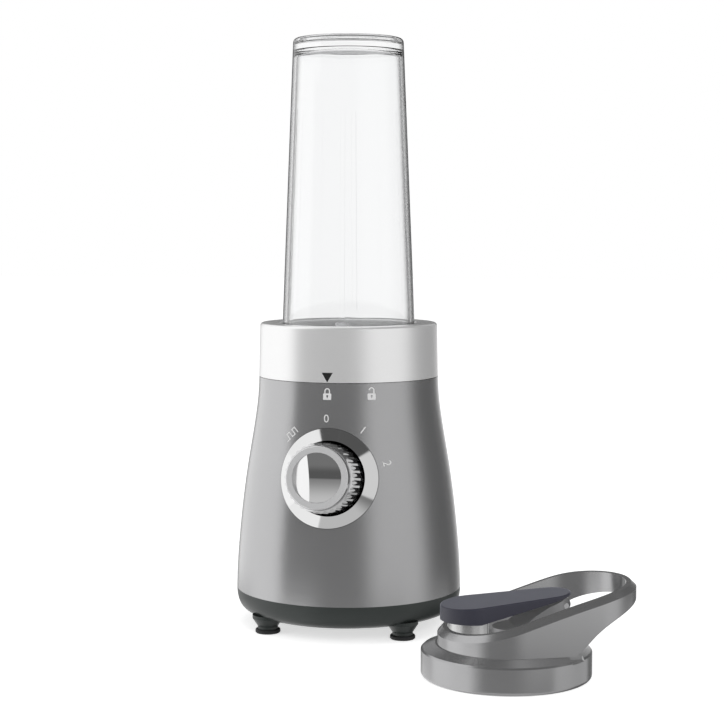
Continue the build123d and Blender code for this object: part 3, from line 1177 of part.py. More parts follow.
def hinge_pin():
    """Steel pin across the hub."""
    half = CAP_RIGHT_R - 3.6
    return at_lid(Pos(HINGE_U, half, HINGE_Z) * Rot(X=90) * extrude(Circle(PIN_R), 2 * half))


NODES = {
    "base_housing": base_housing,
    "cup_seat": cup_seat,
    "bottom_cover": bottom_cover,
    "rubber_feet": rubber_feet,
    "bottom_screws": bottom_screws,
    "cord_gland": cord_gland,
    "circuit_board": circuit_board,
    "interlock_switch": interlock_switch,
    "interlock_plunger": interlock_plunger,
    "lower_bracket": lower_bracket,
    "upper_bracket": upper_bracket,
    "lower_bearing": lambda: bearing(LOWER_BEARING_Z),
    "upper_bearing": lambda: bearing(UPPER_BEARING_Z),
    "motor_mounts": motor_mounts,
    "stator_core": stator_core,
    "field_coils": field_coils,
    "motor_bolts": motor_bolts,
    "bolt_spacers": bolt_spacers,
    "brush_holders": brush_holders,
    "carbon_brushes": carbon_brushes,
    "brush_springs": brush_springs,
    "motor_shaft": motor_shaft,
    "armature_core": armature_core,
    "armature_winding": armature_winding,
    "commutator": commutator,
    "cooling_fan": cooling_fan,
    "drive_coupler": drive_coupler,
    "dial_bezel": dial_bezel,
    "rotary_switch": rotary_switch,
    "switch_nut": switch_nut,
    "knob_body": knob_body,
    "knob_cap": knob_cap,
    "switch_spindle": switch_spindle,
    "lock_collar": lock_collar,
    "blade_holder": blade_holder,
    "cup_gasket": cup_gasket,
    "blade_bearing": blade_bearing,
    "shaft_seal": shaft_seal,
    "blade_shaft": blade_shaft,
    "blade_washers": blade_washers,
    "lower_blade": lower_blade,
    "upper_blade": upper_blade,
    "blade_nut": blade_nut,
    "driven_coupler": driven_coupler,
    "cup": cup,
    "lid_body": lid_body,
    "lid_gasket": lid_gasket,
    "carry_loop": carry_loop,
    "spout": spout,
    "hinge_hub": hinge_hub,
    "hinge_pin": hinge_pin,
    "flip_cap": flip_cap,
    "cap_seal": cap_seal,
}


def set_middle():
    """Middle of the footprint of base and lid, from the base's axis."""
    loop_centre = LID_X + (LOOP_TIP_U - LOOP_R) * cos(radians(LID_TURN))
    back = housing_radius(GLAND_Z) + GLAND_TAIL_LENGTH
    return (loop_centre + LOOP_R - SEAM_R) / 2, (back + LID_Y - LID_R) / 2


os.makedirs("parts", exist_ok=True)
middle_x, middle_y = set_middle()
for node_name, make_node in NODES.items():
    placed = [Pos(-middle_x, -middle_y, 0) * solid for solid in make_node().solids()]
    export_step(placed[0] if len(placed) == 1 else Compound(children=placed), f"parts/{node_name}.step")
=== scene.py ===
"""Countertop blender with an upturned clear cup and a travel lid beside it.

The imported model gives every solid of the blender. This script gives each of them its finish,
adds the printed marks that no solid carries, and sets up a pale studio with one camera.
Lengths are in metres, and angles are in degrees until they reach a rotation.
"""

from __future__ import annotations

import logging
import math
from collections.abc import Callable
from dataclasses import dataclass, field
from enum import Enum

import bpy
from mathutils import Matrix, Vector
from mathutils.bvhtree import BVHTree


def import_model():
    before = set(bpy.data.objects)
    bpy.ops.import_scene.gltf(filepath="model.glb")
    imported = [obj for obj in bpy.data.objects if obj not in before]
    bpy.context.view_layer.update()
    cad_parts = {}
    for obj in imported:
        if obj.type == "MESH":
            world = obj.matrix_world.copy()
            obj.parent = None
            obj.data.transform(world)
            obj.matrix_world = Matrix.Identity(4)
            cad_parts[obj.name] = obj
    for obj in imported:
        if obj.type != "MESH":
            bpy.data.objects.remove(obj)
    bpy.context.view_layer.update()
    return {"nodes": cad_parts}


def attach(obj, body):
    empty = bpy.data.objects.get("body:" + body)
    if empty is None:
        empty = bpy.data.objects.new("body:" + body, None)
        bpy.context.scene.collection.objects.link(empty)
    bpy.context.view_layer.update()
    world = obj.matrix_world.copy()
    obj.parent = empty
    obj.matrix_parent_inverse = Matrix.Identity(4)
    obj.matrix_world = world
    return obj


LOG = logging.getLogger("countertop_blender")
MM = 0.001

# Short names for the types that come up often.
Colour = tuple[float, float, float]
Opaque = tuple[float, float, float, float]
Point = tuple[float, float, float]
Ray = tuple[Vector, Vector]
Socket = bpy.types.NodeSocket
Node = bpy.types.Node
Piece = bpy.types.Object
Solids = dict[str, Piece]

# Places that several pieces share, in the row frame.
BASE_AXIS = Vector((-54.0122 * MM, 39.4885 * MM, 0.0))
DIAL_TILT = 9.0
DIAL_CENTRE = BASE_AXIS + Vector((0.0, -60.0 * MM, 94.4 * MM))
DIAL_OUT = Vector((0.0, -math.cos(math.radians(DIAL_TILT)), math.sin(math.radians(DIAL_TILT))))
DIAL_UP = Vector((0.0, math.sin(math.radians(DIAL_TILT)), math.cos(math.radians(DIAL_TILT))))
CAMERA_TURN = 11.317


# ---------------------------------------------------------------- node trees
class Tree:
    """Short hand for building one node tree."""

    def __init__(self, tree: bpy.types.NodeTree) -> None:
        """Empty the tree and keep it."""
        tree.nodes.clear()
        self.tree = tree

    def add(self, kind: str, **settings: object) -> Node:
        """Add a node.

        Args:
            kind: The node's type name without its ShaderNode prefix, or the whole name.
            settings: Attributes to set on the node.

        Returns:
            The new node.
        """
        name = kind if kind.startswith(("Shader", "Node")) else f"ShaderNode{kind}"
        node = self.tree.nodes.new(name)
        for key, value in settings.items():
            setattr(node, key, value)
        return node

    def feed(self, target: Socket, value: object) -> None:
        """Link a socket to another one, or set it to a plain value.

        Args:
            target: The socket that takes the value.
            value: An output socket, a number or a tuple.
        """
        if isinstance(value, Socket):
            self.tree.links.new(value, target)
        else:
            target.default_value = value

    def wired(self, kind: str, inputs: dict[str | int, object], **settings: object) -> Node:
        """Add a node and feed its inputs.

        Args:
            kind: The node's type name, as for add.
            inputs: What each input takes, by the input's name or number.
            settings: Attributes to set on the node.

        Returns:
            The new node.
        """
        node = self.add(kind, **settings)
        for key, value in inputs.items():
            self.feed(node.inputs[key], value)
        return node

    def maths(self, operation: str, *values: object) -> Socket:
        """Add a Math node with up to three values and return its output."""
        return self.wired("Math", dict(enumerate(values)), operation=operation).outputs[0]

    def split(self, vector: Socket) -> list[Socket]:
        """Return the vector's three parts."""
        return list(self.wired("SeparateXYZ", {0: vector}).outputs)

    def length(self, first: Socket, second: Socket) -> Socket:
        """Return the length of the vector that has these two parts."""
        square = self.maths("MULTIPLY", first, first)
        return self.maths("SQRT", self.maths("MULTIPLY_ADD", second, second, square))

    def object_place(self, centre: Point, lean: float) -> Socket:
        """Place on the piece, seen from a centre and leaned about X.

        Args:
            centre: Origin of the place, in the row frame.
            lean: Turn of its axes about X.

        Returns:
            The place's socket.
        """
        where = self.add("TexCoord").outputs["Object"]
        axes = {"Location": centre, "Rotation": (math.radians(lean), 0.0, 0.0), "Vector": where}
        return self.wired("Mapping", axes, vector_type="TEXTURE").outputs[0]

    def ramp(self, value: object, low: float, high: float, to_low: float, to_high: float,
             smooth: bool = False) -> Socket:
        """Map a value from one range to another, clamped.

        Args:
            value: The number or socket to map.
            low: Start of the source range.
            high: End of the source range.
            to_low: Result at the start.
            to_high: Result at the end.
            smooth: Whether both ends are eased.

        Returns:
            The mapped value's socket.
        """
        kind = "SMOOTHSTEP" if smooth else "LINEAR"
        ends = {"Value": value, "From Min": low, "From Max": high,
                "To Min": to_low, "To Max": to_high}
        node = self.wired("MapRange", ends, clamp=True, interpolation_type=kind)
        return node.outputs["Result"]

    def edge(self, value: Socket, middle: float, width: float, rising: bool) -> Socket:
        """Soft edge between 0 and 1.

        Args:
            value: The socket along which it lies.
            middle: Middle of the edge.
            width: How far it takes to change.
            rising: Whether it goes up along the value.

        Returns:
            The edge's socket.
        """
        start, end = (0.0, 1.0) if rising else (1.0, 0.0)
        return self.ramp(value, middle - width / 2, middle + width / 2, start, end, smooth=True)

    def blend(self, share: object, first: object, second: object) -> Socket:
        """Mix two colours.

        Args:
            share: How much of the second colour shows.
            first: Colour at share 0.
            second: Colour at share 1.

        Returns:
            The mixed colour's socket.
        """
        colours = {0: share, 6: first, 7: second}
        return self.wired("Mix", colours, data_type="RGBA", clamp_factor=True).outputs[2]


def opaque(colour: Colour) -> Opaque:
    """Colour with full alpha."""
    return (*colour, 1.0)


def grey(level: float) -> Opaque:
    """Opaque grey of this level."""
    return opaque((level, level, level))


def slope(angle: float) -> float:
    """Tangent of an angle in degrees."""
    return math.tan(math.radians(angle))


def new_material(name: str) -> tuple[bpy.types.Material, Tree]:
    """Add a material.

    Args:
        name: The material's name.

    Returns:
        The material and its empty node tree.
    """
    material = bpy.data.materials.new(name)
    material.use_nodes = True
    return material, Tree(material.node_tree)


class Effect(Enum):
    """Fine structure of a surface, each one a shared node group."""

    GRAIN = "moulded_grain"
    FLAKES = "paint_flakes"
    TURNED = "turned_lines"
    STACKED = "stacked_sheets"
    WOUND = "wound_wire"


@dataclass
class EffectGroups:
    """Builds each shared node group once.

    Every group takes Vector, Scale and Spread, and puts out Tint, Gloss and Height, which lie
    around 1, 0 and 0.5.
    """

    cloud_scale: float = 38.0
    cloud_detail: float = 3.0
    grain_detail: float = 4.0
    grain_roughness: float = 0.6
    line_detail: float = 3.0
    line_slope: float = 0.7
    wire_unevenness: float = 1.6
    built: dict[Effect, bpy.types.ShaderNodeTree] = field(default_factory=dict)

    def get(self, effect: Effect) -> bpy.types.ShaderNodeTree:
        """Return the effect's group, building it at its first use."""
        if effect not in self.built:
            self.built[effect] = self._build(effect)
        return self.built[effect]

    def _build(self, effect: Effect) -> bpy.types.ShaderNodeTree:
        """Make the group's sockets, and wire its height to its outputs.

        Args:
            effect: Which structure the group gives.

        Returns:
            The new group.
        """
        group = bpy.data.node_groups.new(effect.value, "ShaderNodeTree")
        for way, kind, names in (
                ("INPUT", "Vector", ["Vector"]), ("INPUT", "Float", ["Scale", "Spread"]),
                ("OUTPUT", "Float", ["Tint", "Gloss", "Height"])):
            for name in names:
                group.interface.new_socket(
                    name=name, in_out=way, socket_type=f"NodeSocket{kind}")
        tree = Tree(group)
        source = tree.add("NodeGroupInput").outputs
        makers = {
            Effect.GRAIN: self._grain,
            Effect.FLAKES: self._flakes,
            Effect.TURNED: self._turned,
            Effect.STACKED: self._stacked,
            Effect.WOUND: self._wound,
        }
        height = makers[effect](tree, source["Vector"], source["Scale"])
        cloud = self._cloud(tree, source["Vector"])
        swing = tree.maths("SUBTRACT", height, 0.5)
        tree.wired("NodeGroupOutput", {
            "Tint": tree.maths("MULTIPLY_ADD", swing, source["Spread"], 1.0),
            "Gloss": tree.maths("SUBTRACT", cloud, 0.5),
            "Height": height,
        })
        return group

    def _cloud(self, tree: Tree, vector: Socket) -> Socket:
        """Slow change of gloss over a hand's width."""
        soft = {"Vector": vector, "Scale": self.cloud_scale, "Detail": self.cloud_detail}
        return tree.wired("TexNoise", soft, noise_dimensions="3D").outputs[0]

    def _grain(self, tree: Tree, vector: Socket, scale: Socket) -> Socket:
        """Fine spark-eroded grain of a moulding."""
        fine = {"Vector": vector, "Scale": scale, "Detail": self.grain_detail,
                "Roughness": self.grain_roughness}
        return tree.wired("TexNoise", fine, noise_dimensions="3D").outputs[0]

    @staticmethod
    def _flakes(tree: Tree, vector: Socket, scale: Socket) -> Socket:
        """Metal flakes under a clear coat, each with its own brightness.

        Args:
            tree: The group's node tree.
            vector: Place on the piece.
            scale: Flakes in a metre.

        Returns:
            The height's socket.
        """
        cells = tree.wired(
            "TexVoronoi", {"Vector": vector, "Scale": scale},
            voronoi_dimensions="3D", feature="F1")
        return tree.wired("SeparateColor", {0: cells.outputs["Color"]}).outputs[0]

    def _turned(self, tree: Tree, vector: Socket, scale: Socket) -> Socket:
        """Uneven concentric lines about the vector's Z axis.

        Args:
            tree: The group's node tree.
            vector: Place on the piece.
            scale: Lines in a metre.

        Returns:
            The height's socket.
        """
        across, along, lift = tree.split(vector)
        climb = tree.maths("MULTIPLY", lift, self.line_slope)
        radius = tree.maths("ADD", tree.length(across, along), climb)
        lines = {"W": radius, "Scale": scale, "Detail": self.line_detail}
        return tree.wired("TexNoise", lines, noise_dimensions="1D").outputs[0]

    @staticmethod
    def _stacked(tree: Tree, vector: Socket, scale: Socket) -> Socket:
        """Edges of thin sheets stacked along Z."""
        return tree.maths("PINGPONG", tree.maths("MULTIPLY", tree.split(vector)[2], scale), 1.0)

    def _wound(self, tree: Tree, vector: Socket, scale: Socket) -> Socket:
        """Round wires laid side by side, slightly uneven.

        Args:
            tree: The group's node tree.
            vector: Place on the piece.
            scale: How closely the wires lie.

        Returns:
            The height's socket.
        """
        wires = {"Vector": vector, "Scale": scale, "Distortion": self.wire_unevenness}
        return tree.wired(
            "TexWave", wires, wave_type="BANDS", bands_direction="DIAGONAL",
            wave_profile="SIN").outputs["Fac"]


GROUPS = EffectGroups()


# ---------------------------------------------------------------- finishes
@dataclass(frozen=True)
class Finish:
    """What a surface is made of, and how fine its structure is."""

    name: str
    colour: Colour
    metallic: float = 0.0
    roughness: float = 0.4
    gloss_spread: float = 0.06
    specular: float = 0.5
    coat: float = 0.0
    coat_roughness: float = 0.08
    effect: Effect = Effect.GRAIN
    per_metre: float = 2600.0
    depth: float = 0.02 * MM
    strength: float = 0.25
    tint: float = 0.08
    centre: Point = (0.0, 0.0, 0.0)
    lean: float = 0.0

    def material(self) -> bpy.types.Material:
        """Return the finish's material, building it at its first use."""
        found = bpy.data.materials.get(self.name)
        return found if found else self._build()

    def _build(self) -> bpy.types.Material:
        """Wire the shared effect into a Principled BSDF.

        Returns:
            The new material.
        """
        material, tree = new_material(self.name)
        material.diffuse_color = opaque(self.colour)
        shader = self._shader(tree)
        place = tree.object_place(self.centre, self.lean)
        effect = tree.wired(
            "Group", {"Vector": place, "Scale": self.per_metre, "Spread": self.tint},
            node_tree=GROUPS.get(self.effect)).outputs
        tree.feed(shader.inputs["Base Color"], self._colour(tree, effect["Tint"], place))
        gloss = tree.maths("MULTIPLY_ADD", effect["Gloss"], self.gloss_spread, self.roughness)
        tree.feed(shader.inputs["Roughness"], gloss)
        self._vary(tree, shader, place)
        bump = tree.wired("Bump", {
            "Strength": self.strength, "Distance": self.depth, "Height": effect["Height"]})
        self._lean_faces(tree, bump, place)
        tree.feed(shader.inputs["Normal"], bump.outputs[0])
        tree.wired("OutputMaterial", {"Surface": shader.outputs[0]})
        return material

    def _shader(self, tree: Tree) -> Node:
        """Principled BSDF with every constant on its own socket.

        Args:
            tree: The material's node tree.

        Returns:
            The shader's node.
        """
        return tree.wired("BsdfPrincipled", {
            "Metallic": self.metallic,
            "Specular IOR Level": self.specular,
            "Coat Weight": self.coat,
            "Coat Roughness": self.coat_roughness,
        })

    def _vary(self, tree: Tree, shader: Node, place: Socket) -> None:
        """Leave the shader the same all over."""

    def _lean_faces(self, tree: Tree, bump: Node, place: Socket) -> None:
        """Leave the faces as they are modelled."""

    def _colour(self, tree: Tree, tint: Socket, place: Socket) -> Socket:
        """Own colour, made lighter and darker by the effect's tint."""
        scaled = {0: self.colour, "Scale": tint}
        return tree.wired("VectorMath", scaled, operation="SCALE").outputs[0]


@dataclass(frozen=True)
class PaintWithShadowLine(Finish):
    """Metallic paint with a painted shadow line where the dial's ring sits on it."""

    line_radius: float = 28.3 * MM
    line_width: float = 0.45 * MM
    line_share: float = 0.7
    painted_shadow_colour: Colour = (0.03, 0.03, 0.03)
    line_depth: float = 30 * MM

    def _colour(self, tree: Tree, tint: Socket, place: Socket) -> Socket:
        """Paint colour with a thin painted shadow line round the dial.

        Args:
            tree: The material's node tree.
            tint: The effect's lightness.
            place: Place on the piece.

        Returns:
            The colour's socket.
        """
        paint = super()._colour(tree, tint, place)
        # Painted shadow: a thin dark line on the housing round the dial's ring, on the front only,
        # where the ring's shadow falls.
        across, behind, up = tree.split(tree.object_place(tuple(DIAL_CENTRE), -DIAL_TILT))
        off = tree.maths("SUBTRACT", tree.length(across, up), self.line_radius)
        line = tree.ramp(
            tree.maths("ABSOLUTE", off), 0.0, self.line_width, self.line_share, 0.0, smooth=True)
        front = tree.maths("LESS_THAN", behind, self.line_depth)
        return tree.blend(tree.maths("MULTIPLY", line, front), paint, opaque(self.painted_shadow_colour))


@dataclass(frozen=True)
class ClearPlastic(Finish):
    """Clear moulded plastic, with painted shade where it is seen edge on."""

    refraction: float = 1.49
    edge_start: float = 0.52
    edge_end: float = 0.80
    edge_painted_shade: Colour = (0.02, 0.02, 0.022)

    def _shader(self, tree: Tree) -> Node:
        """Transmitting BSDF.

        Args:
            tree: The material's node tree.

        Returns:
            The shader's node.
        """
        shader = super()._shader(tree)
        tree.feed(shader.inputs["IOR"], self.refraction)
        tree.feed(shader.inputs["Transmission Weight"], 1.0)
        return shader

    def _colour(self, tree: Tree, tint: Socket, place: Socket) -> Socket:
        """Clear colour with painted shade towards grazing angles.

        Args:
            tree: The material's node tree.
            tint: The effect's lightness.
            place: Place on the piece.

        Returns:
            The colour's socket.
        """
        clear = super()._colour(tree, tint, place)
        # Painted shade: the colour darkens as the view grazes the wall, standing in for the dark
        # outlines that light bent and reflected in the walls gives.
        facing = tree.wired("LayerWeight", {"Blend": 0.5}).outputs["Facing"]
        edge = tree.ramp(facing, self.edge_start, self.edge_end, 0.0, 1.0, smooth=True)
        return tree.blend(edge, clear, opaque(self.edge_painted_shade))


@dataclass(frozen=True)
class SoftTouch(Finish):
    """Soft-touch moulding, paler where it is seen at a low angle."""

    sheen: float = 0.55
    sheen_roughness: float = 0.3
    sheen_tint: Colour = (0.86, 0.88, 1.0)

    def _shader(self, tree: Tree) -> Node:
        """BSDF with a sheen.

        Args:
            tree: The material's node tree.

        Returns:
            The shader's node.
        """
        shader = super()._shader(tree)
        tree.feed(shader.inputs["Sheen Weight"], self.sheen)
        tree.feed(shader.inputs["Sheen Roughness"], self.sheen_roughness)
        tree.feed(shader.inputs["Sheen Tint"], opaque(self.sheen_tint))
        return shader


@dataclass(frozen=True)
class DialFinish(Finish):
    """Finish of a round piece on the dial's axis, with Z of its place along that axis."""

    centre: Point = tuple(DIAL_CENTRE)
    lean: float = 90.0 - DIAL_TILT

    def _set_normal(self, tree: Tree, bump: Node, across: object, up: object) -> None:
        """Give the faces a normal that leans across and up from the dial's axis.

        Args:
            tree: The material's node tree.
            bump: The bump node that takes the normal.
            across: Tangent of the lean to the right.
            up: Tangent of the lean upwards.
        """
        joined = tree.wired("CombineXYZ", {0: across, 1: up, 2: 1.0}).outputs[0]
        axes = {"Rotation": (math.radians(self.lean), 0.0, 0.0), "Vector": joined}
        turned = tree.wired("Mapping", axes, vector_type="NORMAL").outputs[0]
        placed = tree.wired(
            "VectorTransform", {0: turned},
            vector_type="NORMAL", convert_from="OBJECT", convert_to="WORLD")
        tree.feed(bump.inputs["Normal"], placed.outputs[0])


@dataclass(frozen=True)
class TurnedRing(DialFinish):
    """Bright ring turned to a cone, with painted shade in the well inside it."""

    cone: float = 30.0
    well_radius: float = 21.45 * MM
    well_painted_shade: Colour = (0.012, 0.012, 0.013)

    def _lean_faces(self, tree: Tree, bump: Node, place: Socket) -> None:
        """Lean the faces outwards by the cone's angle.

        Args:
            tree: The material's node tree.
            bump: The bump node that takes the normal.
            place: Place on the piece.
        """
        across, up, _ = tree.split(place)
        radius = tree.length(across, up)
        leans = [tree.maths("MULTIPLY", tree.maths("DIVIDE", part, radius), slope(self.cone))
                 for part in (across, up)]
        self._set_normal(tree, bump, *leans)

    def _colour(self, tree: Tree, tint: Socket, place: Socket) -> Socket:
        """Bright outside the well, with painted shade in it.

        Args:
            tree: The material's node tree.
            tint: The effect's lightness.
            place: Place on the piece.

        Returns:
            The colour's socket.
        """
        bright = super()._colour(tree, tint, place)
        # Painted shade: near black inside the well's radius, for the shadow in the gap between the
        # knob and the ring.
        across, up, _ = tree.split(place)
        outside = tree.maths("GREATER_THAN", tree.length(across, up), self.well_radius)
        return tree.blend(outside, opaque(self.well_painted_shade), bright)


@dataclass(frozen=True)
class FlutedKnob(DialFinish):
    """Polished flutes and shoulder, with a satin ring round the face."""

    ring_height: float = 26.2 * MM
    ring_step: float = 0.2 * MM
    ring_roughness: float = 0.42
    ring_metallic: float = 0.45

    def _vary(self, tree: Tree, shader: Node, place: Socket) -> None:
        """Satin above the shoulder and polished below it.

        Args:
            tree: The material's node tree.
            shader: The shader's node.
            place: Place on the piece.
        """
        along = tree.split(place)[2]
        start = self.ring_height - self.ring_step
        for name, below, above in (
                ("Roughness", self.roughness, self.ring_roughness),
                ("Metallic", self.metallic, self.ring_metallic)):
            tree.feed(shader.inputs[name], tree.ramp(along, start, self.ring_height, below, above))


@dataclass(frozen=True)
class FaceMirror(DialFinish):
    """Mirror disc whose face is pressed in three shallow facets: left, upper and lower."""

    left_edge: float = -4.6 * MM
    edge_slant: float = 0.09
    left_lean: float = -28.0
    top_lean: float = 2.0
    middle_lean: float = 25.0
    under_lean: float = -15.5
    bottom_lean: float = -24.0
    bottom_turn: float = 6.0
    face_radius: float = 13.7 * MM
    facet_step: float = 0.2 * MM
    soft: float = 0.8 * MM

    def _lean_faces(self, tree: Tree, bump: Node, place: Socket) -> None:
        """Lean the left facet outwards and the lower one down.

        Args:
            tree: The material's node tree.
            bump: The bump node that takes the normal.
            place: Place on the piece.
        """
        across, up, _ = tree.split(place)
        slanted = tree.maths("MULTIPLY_ADD", up, self.edge_slant, across)
        left = tree.ramp(
            slanted, self.left_edge - self.facet_step, self.left_edge, 1.0, 0.0, smooth=True)
        rise = tree.ramp(up, 0.0, self.face_radius, slope(self.middle_lean), slope(self.top_lean))
        low = tree.ramp(up, -self.soft, 0.0, 1.0, 0.0, smooth=True)
        fall = tree.ramp(
            up, -self.face_radius, -self.soft, slope(self.bottom_lean), slope(self.under_lean))
        tall = tree.maths("MULTIPLY_ADD", tree.maths("SUBTRACT", fall, rise), low, rise)
        flat = tree.maths("SUBTRACT", 1.0, left)
        turned = tree.maths(
            "MULTIPLY", tree.maths("MULTIPLY", low, flat), slope(self.bottom_turn))
        wide = tree.maths("MULTIPLY_ADD", left, slope(self.left_lean), turned)
        self._set_normal(tree, bump, wide, tree.maths("MULTIPLY", tall, flat))


# Settings that several finishes share.
THIN_FLAKES = {"effect": Effect.FLAKES, "strength": 0.03, "depth": 0.005 * MM}
POLISHED = {"gloss_spread": 0.02, "strength": 0.02, "depth": 0.01 * MM}

# Grey metallic paint, with a painted shadow line round the dial.
HOUSING_GREY = PaintWithShadowLine(
    "housing_grey_paint_and_shadow_line", (0.48, 0.48, 0.485), metallic=0.85, roughness=0.26,
    coat=0.25, coat_roughness=0.12, per_metre=5200.0, tint=0.08, **THIN_FLAKES)
COLLAR_SILVER = Finish(
    "collar_satin_silver", (0.96, 0.96, 0.96), metallic=0.62, roughness=0.32,
    coat=0.1, coat_roughness=0.15, per_metre=6000.0, tint=0.04, **THIN_FLAKES)
BLACK_PLASTIC = Finish(
    "black_moulding", (0.030, 0.036, 0.034), roughness=0.34, strength=0.2, tint=0.2)
FOOT_RUBBER = Finish(
    "foot_rubber", (0.018, 0.018, 0.019), roughness=0.62, strength=0.4, depth=0.05 * MM, tint=0.3)
# Chrome ring, with painted shade in its well.
BEZEL_CHROME = TurnedRing(
    "dial_ring_chrome_and_painted_well_shade", (0.80, 0.80, 0.80), metallic=1.0, roughness=0.07,
    effect=Effect.TURNED, per_metre=3000.0, tint=0.03, **POLISHED)
KNOB_GREY = FlutedKnob(
    "knob_polished_metal", (0.72, 0.72, 0.725), metallic=0.95, roughness=0.08,
    effect=Effect.FLAKES, per_metre=6500.0, tint=0.03, **POLISHED)
CAP_MIRROR = FaceMirror(
    "knob_face_mirror", (0.86, 0.86, 0.86), metallic=1.0, roughness=0.06,
    effect=Effect.TURNED, per_metre=2600.0, tint=0.02, **POLISHED)
# Clear plastic, with painted shade where it is seen edge on.
CUP_CLEAR = ClearPlastic(
    "cup_clear_plastic_and_edge_shade", (0.975, 0.978, 0.980), roughness=0.008, gloss_spread=0.006,
    per_metre=60.0, tint=0.0, strength=0.01, depth=0.01 * MM)
STEEL = Finish(
    "machined_steel", (0.58, 0.58, 0.59), metallic=1.0, roughness=0.24,
    effect=Effect.TURNED, per_metre=2400.0, strength=0.15, tint=0.10, centre=tuple(BASE_AXIS))
SWITCH_STEEL = DialFinish(
    "plated_steel", (0.60, 0.60, 0.58), metallic=1.0, roughness=0.28,
    effect=Effect.TURNED, per_metre=2400.0, strength=0.15, tint=0.08)
BLADE_STEEL = Finish(
    "blade_steel", (0.66, 0.66, 0.67), metallic=1.0, roughness=0.18,
    per_metre=900.0, strength=0.12, tint=0.10)
LAMINATIONS = Finish(
    "stacked_steel_sheets", (0.26, 0.26, 0.27), metallic=0.9, roughness=0.45,
    effect=Effect.STACKED, per_metre=2000.0, strength=0.6, tint=0.35, depth=0.08 * MM)
COPPER_WIRE = Finish(
    "enamelled_copper_wire", (0.62, 0.25, 0.11), metallic=0.9, roughness=0.32, coat=0.3,
    effect=Effect.WOUND, per_metre=320.0, strength=0.7, tint=0.35, depth=0.2 * MM)
COPPER_BAR = Finish(
    "commutator_copper", (0.72, 0.36, 0.19), metallic=1.0, roughness=0.28,
    effect=Effect.TURNED, per_metre=2600.0, strength=0.2, tint=0.10, centre=tuple(BASE_AXIS))
BRASS = Finish(
    "drawn_brass", (0.72, 0.54, 0.23), metallic=1.0, roughness=0.30, per_metre=1200.0, tint=0.12)
BRONZE = Finish(
    "sintered_bronze", (0.48, 0.30, 0.15), metallic=0.9, roughness=0.45,
    per_metre=3200.0, strength=0.4, tint=0.25)
CARBON = Finish(
    "pressed_carbon", (0.035, 0.035, 0.037), metallic=0.2, roughness=0.55, tint=0.4, strength=0.4)
CAST_ALLOY = Finish(
    "cast_alloy", (0.52, 0.52, 0.53), metallic=0.9, roughness=0.42,
    per_metre=1500.0, strength=0.35, tint=0.15, depth=0.05 * MM)
TURNED_ALLOY = Finish(
    "turned_alloy", (0.60, 0.60, 0.61), metallic=1.0, roughness=0.30,
    effect=Effect.TURNED, per_metre=2200.0, tint=0.08, centre=tuple(BASE_AXIS))
NYLON = Finish(
    "black_nylon", (0.045, 0.045, 0.047), roughness=0.45, strength=0.3, tint=0.25)
BOARD_GREEN = Finish(
    "lacquered_board", (0.03, 0.16, 0.07), roughness=0.30, per_metre=900.0, coat=0.4, tint=0.3)
SILICONE = Finish(
    "grey_silicone", (0.42, 0.42, 0.43), roughness=0.55, per_metre=1800.0, tint=0.08)
LID_GREY = Finish(
    "lid_satin_grey", (0.45, 0.45, 0.455), metallic=0.85, roughness=0.21,
    coat=0.1, coat_roughness=0.2, per_metre=6000.0, tint=0.05, **THIN_FLAKES)
# Painted shade: a darker copy of the lid's grey for the hinge hub, which sits in the flip cap's
# shade.
HUB_SHADED_GREY = Finish(
    "hub_grey_painted_shade", (0.30, 0.30, 0.305), metallic=0.8, roughness=0.34,
    per_metre=6000.0, tint=0.05, **THIN_FLAKES)
SPOUT_SILVER = Finish(
    "spout_silver", (0.70, 0.70, 0.70), metallic=0.8, roughness=0.24,
    effect=Effect.FLAKES, per_metre=6000.0, tint=0.05, strength=0.08, depth=0.01 * MM)
CAP_SLATE = SoftTouch(
    "cap_slate_moulding", (0.034, 0.034, 0.050), roughness=0.42,
    per_metre=3000.0, strength=0.3, tint=0.18)
INK_LIGHT = Finish(
    "mark_ink_light", (0.70, 0.70, 0.70), roughness=0.5,
    per_metre=4000.0, strength=0.1, tint=0.06)
INK_BLACK = Finish(
    "mark_ink_black", (0.012, 0.012, 0.012), roughness=0.45, per_metre=4000.0, tint=0.2)


# ---------------------------------------------------------------- modelling helpers
def clear_selection() -> None:
    """Leave edit mode and deselect everything."""
    if bpy.context.object and bpy.context.object.mode != "OBJECT":
        bpy.ops.object.mode_set(mode="OBJECT")
    bpy.ops.object.select_all(action="DESELECT")


def active_piece(name: str) -> Piece:
    """Name the object that an operator has just added, and its mesh.

    Args:
        name: The name of both.

    Returns:
        The object.
    """
    piece = bpy.context.object
    piece.name = name
    piece.data.name = name
    return piece


def select_only(*pieces: Piece) -> None:
    """Select these objects and make the first one active.

    Args:
        pieces: The objects.
    """
    clear_selection()
    for piece in pieces:
        piece.select_set(True)
    bpy.context.view_layer.objects.active = pieces[0]


def settle(name: str) -> Piece:
    """Name the object just added, and put its place into its mesh.

    Args:
        name: The object's name.

    Returns:
        The object, now at the origin.
    """
    piece = active_piece(name)
    bpy.ops.object.transform_apply(location=True, rotation=True, scale=True)
    return piece


def merge(name: str, pieces: list[Piece]) -> Piece:
    """Join objects into one.

    Args:
        name: The joined object's name.
        pieces: The objects, of which the first one stays.

    Returns:
        The joined object.
    """
    select_only(*pieces)
    if len(pieces) > 1:
        bpy.ops.object.join()
    return active_piece(name)


def combine(piece: Piece, tool: Piece, operation: str) -> None:
    """Cut another piece out of a flat piece, or unite the two, and remove the other one.

    Args:
        piece: The piece that stays.
        tool: The other piece.
        operation: The Boolean modifier's operation.
    """
    select_only(piece)
    modifier = piece.modifiers.new("combine", "BOOLEAN")
    modifier.operation = operation
    modifier.solver = "EXACT"
    modifier.object = tool
    bpy.ops.object.modifier_apply(modifier=modifier.name)
    bpy.data.objects.remove(tool)


